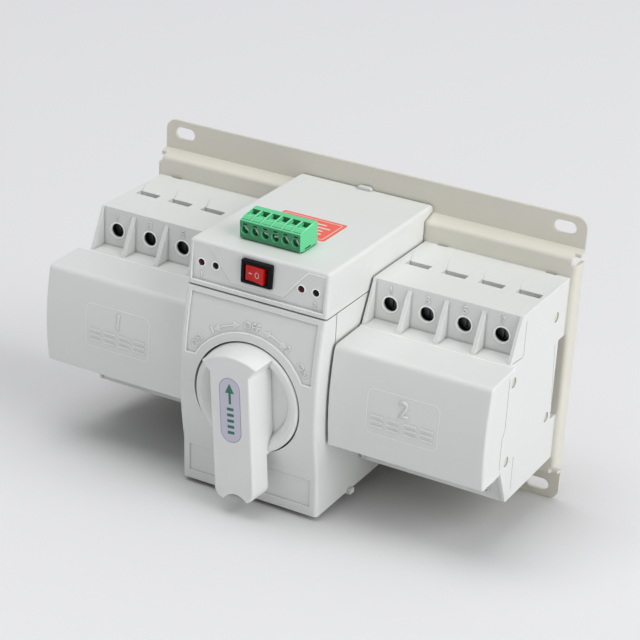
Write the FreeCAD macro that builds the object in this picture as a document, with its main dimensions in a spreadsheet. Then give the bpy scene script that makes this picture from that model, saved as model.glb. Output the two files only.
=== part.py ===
"""Transfer switch with a hand knob: a base plate, two four-pole breakers and a drive unit.

The frame: +X to the right along the plate, +Y into the wall, +Z up. The origin is the centre of
the four mounting slots, on the plate's back face, so the front of the switch looks along -Y.
All sizes are millimetres and stand in the spreadsheet.
"""

import FreeCAD, Part
import math
import os
import re
import Sketcher

OUT_DIR = "parts"
NUDGE = 0.5

doc = FreeCAD.newDocument("TransferSwitch")
sheet = doc.addObject("Spreadsheet::Sheet", "Sizes")

SIZES = {
    # how far a cutter runs past what it cuts, and how far a joined solid is sunk in its neighbour
    "overshoot": 10, "past": 1, "sunk": 0.5,
    # base plate
    "plate_margin": 2.5, "plate_height": 142, "sheet": 1.5, "plate_rise": 8,
    "flange": 14.4, "step_slope": 2.4, "plate_corner": 5, "bend": 2.2,
    "slot_inset_long": 10.5, "slot_inset_high": 6, "slot_length": 11, "slot_width": 6,
    "relief_width": 2.8, "relief_height": 3.4,
    # fixing screws through the plate
    "fix_screw": 4, "fix_head": 7.6, "fix_crown": 5.3, "fix_head_depth": 2.4, "fix_depth": 7,
    "fix_tip_gap": 1, "fix_inset": 5.2, "fix_drive": 18, "fix_drive_high": 30, "fix_boss": 8,
    "fix_boss_depth": 8,
    # breaker: poles, housing and nose
    "pole": 18, "pole_count": 4, "bank_gap": 1, "breaker_height": 90.4,
    "terminal_face": 60.5, "shoulder_depth": 71.3, "shoulder_height": 52,
    "nose_rise": 7.2, "nose_step_top": 1.8, "nose_step_low": 6, "nose_inset": 2.3,
    "rail_top": 17, "rail_bottom": 23, "rail_depth": 6.5,
    "trench_height": 25, "trench_inset": 3.5, "trench_room": 1.5,
    # breaker terminals
    "screw_drop": 10.8, "screw_hole": 6.8, "screw_chamfer": 0.6, "screw_recess": 3.4,
    "clamp_screw": 4, "clamp_head": 1.8, "nick_half": 0.45, "nick_depth": 0.9,
    "fin": 2, "fin_top": 1.8, "fin_set": 1.8, "end_fin": 1.5,
    "entry_left": 4.1, "entry_wall": 2.1, "entry_front": 38.8, "entry_back": 33.2,
    "entry_depth": 14, "funnel_drop": 0.6, "funnel_end": 22, "rib_tip": 25.8, "rib_shift": 1.4,
    "clamp_plate": 1.2, "clamp_gap": 0.3, "mark_groove": 0.4, "mark_set": 4.5,
    "back_notch": 5.6, "back_notch_depth": 1.2, "back_notch_height": 2.6,
    # rivets
    "rivet": 3, "rivet_head": 4.4, "rivet_recess": 1.2, "rivet_sink": 5,
    "rivet_back": 21, "rivet_set": 7.5, "rivet_drop": 15.1, "rivet_lift": 25.5,
    "rivet_nose_drop": 9, "rivet_nose_lift": 2.6,
    # toggles
    "toggle_sink": 7.3, "toggle_rod": 3, "toggle_hub": 10, "toggle_width": 8,
    "toggle_arm": 20, "toggle_tip": 25.5, "toggle_thick": 5, "toggle_taper": 0.6,
    "toggle_angle": 25, "rod_end_gap": 2, "tie_bar": 4, "bar_reach": 5, "bar_tail": 1,
    # nose covers
    "cover_wall": 2, "cover_gap": 0.2, "cover_lap": 1.2, "cover_room": 5.7, "cover_foot_gap": 0.3,
    "overhang_right": 3.5, "overhang_left": 5.7, "cover_bulge": 120, "cover_set": 1,
    "cover_lean": 0.6, "cover_swell": 0.4, "cover_side_drop": 5, "cover_jog": 1.5,
    "cover_round": 3, "cover_soft": 1, "bar_slot_height": 25, "bar_slot_depth": 10, "bar_slot_lap": 1,
    # drive unit housings
    "unit_width": 70, "unit_rise": 3.4, "unit_bottom": 58, "unit_wall": 2, "unit_round": 1.6,
    "hood_back": 2.2, "hood_front": 100.4, "hood_height": 20.7, "hood_lean": 0.6,
    "hood_clear": 0.8, "fascia_depth": 0.5, "fascia_border": 2.2, "fascia_side": 10.2,
    "fascia_slope": 12, "fascia_strip": 2.8, "lamp_drop": 10.2, "lamp_hole": 3.2,
    "lamp_chamfer": 0.4, "lamp_inset": 6.4, "lamp_pitch": 7.2,
    "lug_width": 7.5, "lug_height": 1.6, "lug_depth": 2, "lug_round": 1.4,
    "seam": 0.7, "front_swell": 1.2, "kink_swell": 0.8, "kink_height": 20.5, "foot_set": 0.3,
    "front_bulge": 160, "front_crease": 20, "front_wall": 2.5, "skirt_step": 23.2,
    "skirt_depth": 8.4, "skirt_low_back": 40,
    "dial_side": 3.3, "dial_drop": 2.9, "dial_bottom": 8.5, "dial_ring": 31,
    "dial_depth": 0.6, "label_side": 3.6, "label_height": 14, "label_foot": 4.4,
    "label_depth": 0.5, "peg_reach": 1.7, "peg_front": 71, "peg_back": 67.5, "peg_drop": 1.3,
    # knob and shaft
    "knob_drop": 6.5, "knob_disc": 52.2, "knob_gap": 0.8, "rim_rise": 4.8, "rim_inner": 46,
    "rim_round": 1.5, "rim_bulge": 7, "pocket_rise": 0.4, "pocket_foot": 38.6, "disc_sink": 2,
    "hub": 18, "hub_sink": 8.1, "grip_rise": 17.7, "grip_half": 10, "grip_draft": 1,
    "grip_top": 25.1, "ear_half": 13.8, "ear_rise": 21.2, "neck_rise": 16.8,
    "grip_shoulder": 38.3, "tip_half": 5.9, "tip_drop": 44.1, "tip_round": 5.5, "notch_round": 7.3,
    "tail_gap": 1.2, "knob_rest_turn": 4.8, "grip_edge": 0.9,
    "shaft": 8, "shaft_back": 24, "shaft_square": 5.6, "shaft_sink": 1.1, "fit": 0.05,
    "clip": 12, "clip_thick": 1,
    # frame of the drive
    "frame_gap": 2, "frame_drop": 17, "frame_foot": 5, "frame_sheet": 2,
    "frame_front_face": 66, "frame_rear_face": 32, "spacer": 6, "spacer_inset": 4,
    "spacer_drop": 4.5, "spacer_foot": 5, "frame_screw": 3, "frame_head": 5.4,
    "frame_head_depth": 1.4, "frame_thread": 6, "bush_flange": 13, "bush_wall": 2.5,
    "bush_lip": 1.2,
    # gears
    "coarse_module": 1, "fine_module": 0.8, "main_teeth": 44, "pinion_teeth": 12,
    "wheel_teeth": 40, "motor_teeth": 12, "gear_backlash": 0.16, "main_gear_set": 5,
    "main_gear_face": 4, "window_ring": 15, "gear_window": 9, "wheel_set": 1.2,
    "wheel_face": 2.8, "idler_angle": 25, "gear_hub": 14, "gear_gap": 0.3, "idler_pin": 4,
    "pin_head": 6.4, "pin_head_depth": 0.8,
    # cam
    "cam_gap": 0.6, "cam_thick": 3, "cam_disc": 34, "lobe_radius": 5, "lobe_arm": 24.4,
    "lobe_angle": 74,
    # motor
    "motor_diameter": 25, "motor_length": 22, "motor_boss": 8, "motor_tail": 10,
    "motor_tail_length": 2, "motor_shaft": 3, "motor_shaft_depth": 18, "motor_end_gap": 0.5,
    # limit switches
    "limit_inner": 4, "limit_end_gap": 8, "limit_rise": 22.3, "limit_height": 6,
    "limit_depth": 12, "limit_button": 1.6, "button_width": 2, "button_set": 1,
    # circuit board
    "board_gap": 3, "board_set": 14, "board_back": 16, "board_drop": 9, "board_thick": 1.6,
    "post": 6, "post_inset": 4, "post_front": 70, "post_back": 22, "board_screw": 2.4,
    "board_screw_head": 4.8, "board_head_depth": 1.4, "board_screw_depth": 4, "relay_inner": 5,
    "relay_length": 19, "relay_height": 14, "relay_front": 50, "relay_width": 15.5,
    "capacitor": 10, "capacitor_length": 12, "capacitor_back": 25, "lamp": 3, "lamp_set": 6.4,
    "lamp_flange": 3.8, "lamp_flange_depth": 1, "lead": 0.6, "lead_half_gap": 1.27, "lead_rise": 0.9,
    # rocker switch
    "switch_drop": 8.2, "bezel_half_width": 7.7, "bezel_half_height": 5.5, "bezel_thick": 2.2,
    "switch_half_width": 6.9, "switch_half_height": 4.7, "switch_depth": 13.4,
    "rocker_half": 4.9, "rocker_height": 7.2, "rocker_front": 3.2, "rocker_back": 1.6,
    "rocker_sink": 0.6, "rocker_tilt": 10, "rocker_well_half": 5.9, "rocker_well_depth": 5,
    "rocker_dish": 24, "rocker_taper": 0.6, "rocker_round": 0.4, "rocker_pin": 1.6,
    "rocker_pin_reach": 0.9, "rocker_side_gap": 0.25,
    # plug-in terminal block
    "plug_ways": 6, "plug_pitch": 5.08, "plug_shift": 1.6, "plug_set": 12.4, "plug_depth": 15,
    "plug_face_height": 8.8, "plug_lean": 0.6, "plug_back_lean": 0.4, "plug_brow_height": 10.2,
    "plug_brow_set": 3.5, "plug_height": 11.2, "plug_ridge_set": 2, "plug_round": 0.3,
    "plug_seat": 0.6, "way_half": 2.1, "way_depth": 0.7,
    "tongue_set": 3.3, "tongue_thick": 7.2, "tongue_depth": 6.5,
    "tongue_end": 1.54, "tongue_gap": 0.1, "wire_port": 3.4, "wire_port_set": 9.8,
    "wire_port_depth": 8.5, "plug_clamp": 0.8, "plug_screw_height": 4.4, "plug_screw": 3.9,
    "plug_screw_sink": 1.7, "plug_screw_gap": 0.4, "plug_screw_head": 1.8, "plug_nick_half": 0.3,
    "plug_nick_depth": 0.7, "test_slot_lift": 7.3, "test_slot_length": 2.2,
    "test_slot_height": 0.8, "test_slot_depth": 1.2, "header_wall": 1.4, "header_floor": 2,
    "header_rise": 0.5, "hood_port_gap": 0.4, "header_pin": 1, "pin_hole": 1.5, "pin_bore": 1.8,
    "foot_notch_set": 4, "foot_notch_depth": 5, "foot_notch_height": 1.5,
    "foot_notch_width": 1.2,
}

# places and sizes that follow from the ones above
DERIVED = {
    "plate_length": "unit_width + 2 * (bank_gap + pole * pole_count + plate_margin)",
    "slot_span_long": "plate_length - 2 * slot_inset_long",
    "slot_span_high": "plate_height - 2 * slot_inset_high",
    "step_foot": "plate_height / 2 - flange",
    "fix_high": "breaker_height / 2 - fix_inset",
    "nose_depth": "shoulder_depth + nose_rise",
    "nose_top": "shoulder_height / 2 - nose_step_top",
    "nose_bottom": "shoulder_height / 2 - nose_step_low",
    "screw_rise": "breaker_height / 2 - screw_drop",
    "entry_right": "pole - entry_wall",
    "fin_reach": "shoulder_depth - terminal_face - fin_set",
    "rivet_front": "shoulder_depth - rivet_set",
    "toggle_pivot": "shoulder_depth - toggle_sink",
    "cover_back": "shoulder_depth + cover_gap",
    "cover_side_back": "nose_depth - cover_lap",
    "cover_front": "toggle_pivot + toggle_tip + cover_room",
    "cover_top": "nose_top + cover_wall",
    "cover_bottom": "nose_bottom + cover_wall + cover_foot_gap",
    "bar_slot_back": "cover_side_back - bar_slot_lap",
    "bar_slot_front": "cover_side_back + bar_slot_depth",
    "unit_top": "step_foot + unit_rise",
    "unit_half": "unit_width / 2",
    "inside_half": "unit_half - unit_wall",
    "hood_foot": "unit_top - hood_height",
    "fascia_slope_top": "unit_half - fascia_side",
    "fascia_slope_foot": "fascia_slope_top - fascia_slope",
    "lamp_rise": "unit_top - lamp_drop",
    "lamp_outer": "unit_half - lamp_inset",
    "lamp_inner": "lamp_outer - lamp_pitch",
    "front_edge": "hood_front + front_swell",
    "front_kink": "hood_front + kink_swell",
    "front_foot": "hood_front - foot_set",
    "kink_rise": "unit_bottom - kink_height",
    "skirt_high_back": "hood_front - skirt_depth",
    "dial_half_width": "unit_half - dial_side",
    "dial_top": "hood_foot - dial_drop",
    "label_half_width": "unit_half - label_side",
    "label_bottom": "unit_bottom - label_foot",
    "label_top": "label_bottom - label_height",
    "rim_front": "front_edge + rim_rise",
    "pocket_floor": "front_edge + pocket_rise",
    "disc_back": "front_edge - disc_sink",
    "hub_back": "front_edge - hub_sink",
    "grip_front": "front_edge + grip_rise",
    "grip_lift": "rim_front + tail_gap",
    "shaft_end": "front_edge - shaft_sink",
    "board_half": "inside_half - board_gap",
    "board_front": "hood_front - board_set",
    "board_top": "unit_top - board_drop",
    "post_out": "board_half - post_inset",
    "frame_half": "inside_half - frame_gap",
    "frame_top": "board_top - frame_drop",
    "frame_bottom": "unit_bottom - frame_foot",
    "spacer_out": "frame_half - spacer_inset",
    "spacer_high": "frame_top - spacer_drop",
    "spacer_low": "frame_bottom - spacer_foot",
    "main_gear_back": "frame_front_face + main_gear_set",
    "wheel_back": "frame_front_face + wheel_set",
    "cam_back": "main_gear_back + main_gear_face + cam_gap",
    "limit_length": "frame_half - limit_end_gap - limit_inner",
    "lamp_back": "hood_front - lamp_set",
    "switch_rise": "unit_top - switch_drop",
    "switch_back": "hood_front - switch_depth",
    "rocker_pivot": "hood_front - rocker_sink",
    "plug_front": "hood_front - plug_set",
    "plug_back": "plug_front - plug_depth",
    "plug_brow_back": "plug_front - plug_brow_set",
    "plug_ridge_back": "plug_back + plug_ridge_set",
    "plug_face_top": "unit_top + plug_face_height",
    "plug_brow": "unit_top + plug_brow_height",
    "plug_ridge": "unit_top + plug_height",
    "plug_screw_rise": "unit_top + plug_screw_height",
    "test_slot_rise": "unit_top + test_slot_lift",
    "tongue_front": "plug_front - tongue_set",
    "tongue_back": "tongue_front - tongue_thick",
    "tongue_half": "plug_pitch * plug_ways / 2 - tongue_end",
    "wire_port_back": "plug_front - wire_port_set",
    "header_front": "tongue_front + tongue_gap + header_wall",
    "header_back": "tongue_back - tongue_gap - header_wall",
    "header_half": "tongue_half + tongue_gap + header_wall",
    "foot_notch_front": "plug_front - foot_notch_set",
    "foot_notch_back": "foot_notch_front - foot_notch_depth",
}

for row, (alias, number) in enumerate(SIZES.items(), start=1):
    sheet.set(f"A{row}", alias)
    sheet.set(f"B{row}", str(number))
    sheet.setAlias(f"B{row}", alias)
doc.recompute()

parts = {}


# ---- helpers: expressions, primitives, booleans and outlines --------------------------------

def cells(text):
    """An expression with derived names spelled out and the sheet's name before each alias."""
    def spelled(word):
        if word[0] in DERIVED:
            return f"({cells(DERIVED[word[0]])})"
        return f"Sizes.{word[0]}" if word[0] in SIZES else word[0]
    return re.sub(r"[a-z][a-z_]{2,}", spelled, text)


def size(text):
    """The number that an expression over the sheet's aliases gives now."""
    return float(sheet.evalExpression(cells(str(text))))


def bind(obj, prop, text):
    obj.setExpression(prop, cells(str(text)))


def place(obj, x="0", y="0", z="0"):
    for axis, text in zip("xyz", (x, y, z)):
        bind(obj, f"Placement.Base.{axis}", text)


def unique(label):
    """A fresh internal name for a construction step."""
    return label + "_step"


def box(label, low, high):
    """A box between two corners, each three expressions."""
    solid = doc.addObject("Part::Box", label)
    for prop, lo, hi in zip(("Length", "Width", "Height"), low, high):
        bind(solid, prop, f"({hi}) - ({lo})")
    place(solid, *low)
    return solid


TURNS = {
    "x": FreeCAD.Rotation(FreeCAD.Vector(0, 1, 0), 90),
    "y": FreeCAD.Rotation(FreeCAD.Vector(1, 0, 0), -90),
    "z": FreeCAD.Rotation(),
}


def rod(label, axis, start, diameter, length):
    """A cylinder that starts at a point and runs along +axis."""
    solid = doc.addObject("Part::Cylinder", label)
    bind(solid, "Radius", f"({diameter}) / 2")
    bind(solid, "Height", length)
    solid.Placement = FreeCAD.Placement(FreeCAD.Vector(), TURNS[axis])
    place(solid, *start)
    return solid


def cone(label, axis, start, wide, narrow, length):
    """A cone frustum from one diameter to another along +axis."""
    solid = doc.addObject("Part::Cone", label)
    bind(solid, "Radius1", f"({wide}) / 2")
    bind(solid, "Radius2", f"({narrow}) / 2")
    bind(solid, "Height", length)
    solid.Placement = FreeCAD.Placement(FreeCAD.Vector(), TURNS[axis])
    place(solid, *start)
    return solid


def fuse(label, *solids):
    joined = doc.addObject("Part::MultiFuse", label)
    joined.Shapes = list(solids)
    joined.Refine = True
    return joined


def group(label, *solids):
    """Separate solids kept apart in one object."""
    gathered = doc.addObject("Part::Compound", label)
    gathered.Links = list(solids)
    return gathered


def cut(label, base, *tools):
    result = doc.addObject("Part::Cut", label)
    result.Base = base
    result.Tool = tools[0] if len(tools) == 1 else group(unique(label), *tools)
    result.Refine = True
    return result


def common(label, first, second):
    result = doc.addObject("Part::Common", label)
    result.Base, result.Tool = first, second
    return result


def mirrored(label, source, normal):
    flipped = doc.addObject("Part::Mirroring", label)
    flipped.Source = source
    flipped.Normal = normal
    return flipped


def arc_between(start, end, radius):
    """The minor arc from start to end; a positive radius turns anticlockwise."""
    chord = end - start
    reach = math.sqrt(max(radius * radius - chord.Length ** 2 / 4, 0.0))
    side = FreeCAD.Vector(-chord.y, chord.x, 0).normalize()
    centre = (start + end) / 2 + side * math.copysign(reach, radius)
    first, last = (start, end) if radius > 0 else (end, start)
    angles = [math.atan2(p.y - centre.y, p.x - centre.x) for p in (first, last)]
    circle = Part.Circle(centre, FreeCAD.Vector(0, 0, 1), abs(radius))
    return Part.ArcOfCircle(circle, angles[0], angles[1])


PLANES = {"XY": "XY_Plane", "XZ": "XZ_Plane", "YZ": "YZ_Plane"}


def draw(sketch, outline):
    """Draw a closed outline whose corners, and arc radii, are bound to the sheet.

    Each corner is (u, v) or (u, v, radius); the radius makes the edge that leaves it an arc.
    """
    corners = [FreeCAD.Vector(size(c[0]), size(c[1]), 0) for c in outline]
    ends = []
    for i, corner in enumerate(outline):
        start, end = corners[i], corners[(i + 1) % len(corners)]
        if len(corner) == 2:
            sketch.addGeometry(Part.LineSegment(start, end), False)
            ends.append((1, 2))
        else:
            radius = size(corner[2])
            sketch.addGeometry(arc_between(start, end, radius), False)
            ends.append((1, 2) if radius > 0 else (2, 1))
    for i, corner in enumerate(outline):
        follower = (i + 1) % len(outline)
        sketch.addConstraint(Sketcher.Constraint(
            "Coincident", i, ends[i][1], follower, ends[follower][0]))
        for kind, text, number in zip(("DistanceX", "DistanceY"), corner, corners[i]):
            index = sketch.addConstraint(Sketcher.Constraint(
                kind, -1, 1, i, ends[i][0], number))
            sketch.setExpression(f"Constraints[{index}]", cells(text))
        if len(corner) == 3:
            index = sketch.addConstraint(Sketcher.Constraint("Radius", i, abs(size(corner[2]))))
            sketch.setExpression(f"Constraints[{index}]", f"abs({cells(corner[2])})")


def sketched(body, plane, outline, name):
    sketch = body.newObject("Sketcher::SketchObject", name)
    origin = next(o for o in body.Origin.OriginFeatures if o.Role == PLANES[plane])
    sketch.AttachmentSupport = [(origin, "")]
    sketch.MapMode = "FlatFace"
    draw(sketch, outline)
    return sketch


def prism(label, plane, outline, low, high):
    """A body: an outline in XY, XZ or YZ padded between two stations of the third axis."""
    body = doc.addObject("PartDesign::Body", label)
    sketch = sketched(body, plane, outline, label + "_outline")
    pad = body.newObject("PartDesign::Pad", label + "_pad")
    pad.Profile = sketch
    sketch.Visibility = False
    bind(pad, "Length", f"({high}) - ({low})")
    if plane == "XZ":
        place(body, y=high)
    elif plane == "YZ":
        place(body, x=low)
    else:
        place(body, z=low)
    return body


def rounded(label, source, radius, choose):
    """Round the edges that a test picks; the radius is read from the sheet."""
    doc.recompute()
    picked = [i for i, edge in enumerate(source.Shape.Edges, start=1) if choose(edge)]
    result = doc.addObject("Part::Fillet", label)
    result.Base = source
    result.Edges = [(i, size(radius), size(radius)) for i in picked]
    return result


def runs_along(edge, axis):
    """True for a straight edge that is parallel to x, y or z."""
    if len(edge.Vertexes) != 2 or not isinstance(edge.Curve, Part.Line):
        return False
    span = edge.Vertexes[1].Point - edge.Vertexes[0].Point
    return abs(abs(span["xyz".index(axis)]) - span.Length) < 1e-6


def middle(edge):
    return edge.CenterOfMass


def near(number, text):
    return abs(number - size(text)) < 1e-3


def node(name, obj):
    """Name a finished sub-part; the label names its file."""
    obj.Label = name
    parts[name] = obj
    return obj


# ---- stations that more than one piece uses ---------------------------------------------------

WEB_FRONT = "sheet + plate_rise"
BANK = "pole * pole_count"
BREAKER_TOP = "breaker_height / 2"
INNER = "unit_width / 2 + bank_gap"
BANKS = {"left": f"-({INNER}) - ({BANK})", "right": INNER}
SIGNS = {"left": "-1", "right": "1"}
KNOB_Z = "-knob_drop"
MAIN_TO_IDLER = "coarse_module * (main_teeth + pinion_teeth) / 2"
IDLER_TO_MOTOR = "fine_module * (wheel_teeth + motor_teeth) / 2"
IDLER_X = f"-({MAIN_TO_IDLER}) * sin(idler_angle)"
IDLER_Z = f"-knob_drop - ({MAIN_TO_IDLER}) * cos(idler_angle)"
MOTOR_X = f"{IDLER_X} + {IDLER_TO_MOTOR}"


# ---- base plate ---------------------------------------------------------------------------------

def slot(label, x, z):
    """An obround cutter through the flange."""
    straight = "slot_length - slot_width"
    bar = box(label + "_bar", (f"{x} - ({straight}) / 2", "-sheet * 2", f"{z} - slot_width / 2"),
              (f"{x} + ({straight}) / 2", "sheet", f"{z} + slot_width / 2"))
    ends = [rod(f"{label}_end{i}", "y", (f"{x} + ({sign}) * ({straight}) / 2", "-sheet * 2", z),
                "slot_width", "sheet * 3") for i, sign in enumerate(("-1", "1"))]
    return fuse(label, bar, *ends)


def make_base_plate():
    """A hat section with slotted flanges, sloped steps and ends folded back."""
    half = "plate_height / 2"
    web_top = "step_foot - step_slope"
    slant = "step_slope / plate_rise"
    thick = f"sheet * sqrt(1 + ({slant}) * ({slant}))"
    back_foot = f"step_foot + sheet * ({slant}) - {thick}"
    back_top = f"step_foot - (plate_rise - sheet) * ({slant}) - {thick}"
    upper = [
        ("0", half), ("-sheet", half), ("-sheet", "step_foot"),
        (f"-({WEB_FRONT})", web_top),
    ]
    lower = [(u, f"-({v})") for u, v in reversed(upper)]
    inner_upper = [("-plate_rise", back_top), ("0", back_foot)]
    inner_lower = [(u, f"-({v})") for u, v in reversed(inner_upper)]
    hat = prism("plate_hat", "YZ", upper + lower + inner_lower + inner_upper,
                "-plate_length / 2", "plate_length / 2")
    end_top = f"{web_top} - relief_height"
    tabs = [box(f"plate_tab_{side}", (x_low, "-plate_rise - sheet", f"-({end_top})"),
                (x_high, "-sheet / 2", end_top))
            for side, x_low, x_high in (
                ("left", "-plate_length / 2", "-plate_length / 2 + sheet"),
                ("right", "plate_length / 2 - sheet", "plate_length / 2"))]
    reliefs = []
    for side, x in (("left", "-plate_length / 2"), ("right", "plate_length / 2 - relief_width")):
        for level, z_low, z_high in (("up", end_top, f"{web_top} + sheet"),
                                     ("low", f"-({web_top}) - sheet", f"-({end_top})")):
            reliefs.append(box(f"relief_{side}_{level}", (x, f"-({WEB_FRONT}) - past", z_low),
                               (f"{x} + relief_width", "-plate_rise / 2 - sheet", z_high)))
    slots = [slot(f"slot_{i}", f"({sx}) * slot_span_long / 2", f"({sz}) * slot_span_high / 2")
             for i, (sx, sz) in enumerate((("-1", "-1"), ("1", "-1"), ("-1", "1"), ("1", "1")))]
    holes = [rod(f"plate_hole_{i}", "y", (x, f"-({WEB_FRONT}) - past", z), "fix_screw + 2 * fit",
                 "plate_rise") for i, (x, z) in enumerate(fixing_places())]
    blank = cut("plate_blank", fuse("plate_folded", hat, *tabs), *reliefs, *slots, *holes)

    def outer_bend(edge):
        at = middle(edge)
        return (runs_along(edge, "x") and near(at.y, f"-({WEB_FRONT})")
                and near(abs(at.z), web_top)
                or runs_along(edge, "z") and near(at.y, f"-({WEB_FRONT})")
                and near(abs(at.x), "plate_length / 2"))

    def corner(edge):
        at = middle(edge)
        return (runs_along(edge, "y") and near(abs(at.x), "plate_length / 2")
                and near(abs(at.z), half))

    bent = rounded("plate_bent", blank, "bend", outer_bend)
    node("base_plate", rounded("base_plate", bent, "plate_corner", corner))


def fixing_places():
    """The centres of the screws that hold the breakers and the drive unit to the plate."""
    spots = []
    for bank in BANKS.values():
        for step in ("0.5", "pole_count - 0.5"):
            spots += [(f"{bank} + pole * ({step})", f"({s}) * fix_high") for s in ("-1", "1")]
    spots += [(f"({sx}) * fix_drive", f"({sz}) * fix_drive_high")
              for sx in ("-1", "1") for sz in ("-1", "1")]
    return spots


def make_fixing_screws():
    """Pan-head screws, put in from behind the plate."""
    screws = []
    for i, (x, z) in enumerate(fixing_places()):
        shank = rod(f"fix_shank_{i}", "y", (x, f"-({WEB_FRONT}) - fix_depth + sheet", z),
                    "fix_screw", "fix_depth")
        head = cone(f"fix_head_{i}", "y", (x, "-plate_rise", z), "fix_head", "fix_crown",
                    "fix_head_depth")
        screws.append(fuse(f"fix_screw_{i}", shank, head))
    node("fixing_screws", group("fixing_screws", *screws))


def fixing_holes(label, spots):
    """Blind holes for the fixing screws in what they hold."""
    return [rod(f"{label}_fix_{i}", "y", (x, f"-({WEB_FRONT}) - fix_depth - fix_tip_gap", z),
                "fix_screw + 2 * fit", "fix_depth + fix_tip_gap + past")
            for i, (x, z) in enumerate(spots)]


# ---- breakers -----------------------------------------------------------------------------------

def make_breaker(side):
    """One four-pole breaker: moulded housing with terminals above and below."""
    x0 = BANKS[side]
    tag = f"breaker_{side}"
    top, shoulder = BREAKER_TOP, "shoulder_height / 2"
    outline = [
        (f"-({WEB_FRONT})", top), ("-terminal_face", top), ("-terminal_face", shoulder),
        ("-shoulder_depth", shoulder), ("-shoulder_depth", "nose_top"),
        ("-nose_depth", "nose_top"), ("-nose_depth", "-nose_bottom"),
        ("-cover_side_back", "-nose_bottom"), ("-cover_side_back", f"-({shoulder})"),
        ("-terminal_face", f"-({shoulder})"), ("-terminal_face", f"-({top})"),
        (f"-({WEB_FRONT})", f"-({top})"), (f"-({WEB_FRONT})", "-rail_bottom"),
        (f"-({WEB_FRONT}) - rail_depth", "-rail_bottom"),
        (f"-({WEB_FRONT}) - rail_depth", "rail_top"), (f"-({WEB_FRONT})", "rail_top"),
    ]
    core = prism(tag + "_core", "YZ", outline, x0, f"{x0} + {BANK}")
    added, removed = [], []
    # fins between the poles, and a plain fin at each end, above and below
    for i in range(int(size("pole_count")) + 1):
        end = i in (0, int(size("pole_count")))
        rise = top if end else f"{top} - fin_top"
        low = {0: x0}.get(i, f"{x0} + pole * {i} - " + ("end_fin" if end else "fin / 2"))
        high = f"{low} + " + ("end_fin" if end else "fin")
        fin = prism(f"{tag}_fin_{i}", "YZ", [
            ("-terminal_face + sunk", rise), ("-terminal_face", rise),
            ("-terminal_face - fin_reach", shoulder), ("-terminal_face + sunk", shoulder),
        ], low, high)
        added += [fin, mirrored(f"{tag}_fin_{i}_low", fin, (0, 0, 1))]
    for i in range(int(size("pole_count"))):
        for tool in terminal_cutters(f"{tag}_{i}", f"{x0} + pole * {i}"):
            removed += [tool, mirrored(tool.Name + "_low", tool, (0, 0, 1))]
    # latch notches in the rear edges of the outer poles
    for i in (0, int(size("pole_count")) - 1):
        centre = f"{x0} + pole * {i} + pole / 2"
        notch = box(f"{tag}_back_notch_{i}", (
            f"{centre} - back_notch / 2", f"-({WEB_FRONT}) - back_notch_depth",
            f"{top} - back_notch_height"), (
            f"{centre} + back_notch / 2", f"-({WEB_FRONT}) + past", f"{top} + past"))
        removed += [notch, mirrored(f"{tag}_back_notch_low_{i}", notch, (0, 0, 1))]
    # trench for the handles, and room beside the nose for the cover's side walls
    removed.append(box(tag + "_trench", (
        f"{x0} + trench_inset", "-nose_depth - past", "-trench_height / 2"), (
        f"{x0} + {BANK} - trench_inset", "-toggle_pivot + toggle_hub / 2 + trench_room",
        "trench_height / 2")))
    for end, low in (("in", x0), ("out", f"{x0} + {BANK} - nose_inset")):
        removed.append(box(f"{tag}_side_{end}", (low, "-nose_depth - past", "-nose_bottom - past"),
                           (f"{low} + nose_inset", "-cover_side_back", "nose_top + past")))
    removed.append(rod(tag + "_rod_bore", "x", (f"{x0} - past", "-toggle_pivot", "0"),
                       "toggle_rod + 2 * fit", f"{BANK} - rod_end_gap + past"))
    for i, (y, z) in enumerate(rivet_places()):
        removed.append(rod(f"{tag}_rivet_bore_{i}", "x", (f"{x0} - past", y, z),
                           "rivet + 2 * fit", f"{BANK} + 2 * past"))
        for end, low in (("in", f"{x0} - past"), ("out", f"{x0} + {BANK} - rivet_recess")):
            removed.append(rod(f"{tag}_rivet_{end}_{i}", "x", (low, y, z), "rivet_sink",
                               "rivet_recess + past"))
    # thin grooves on the outer side that mark the terminal caps
    for level, sign in (("up", "1"), ("low", "-1")):
        face = f"{x0} + {BANK} - mark_groove" if side == "right" else f"{x0} - past"
        z_ends = (f"{shoulder}", f"{top} - fin_top * 2")
        if sign == "-1":
            z_ends = tuple(f"-({z})" for z in reversed(z_ends))
        removed.append(box(f"{tag}_mark_{level}", (
            face, "-terminal_face + mark_set", z_ends[0]), (
            f"{face} + past + mark_groove", "-terminal_face + mark_set + mark_groove",
            z_ends[1])))
    spots = [spot for spot in fixing_places() if spot[0].startswith(x0 + " +")]
    removed += fixing_holes(tag, spots)
    body = cut(tag, fuse(tag + "_finned", core, *added), *removed)
    node(tag, body)


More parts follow.
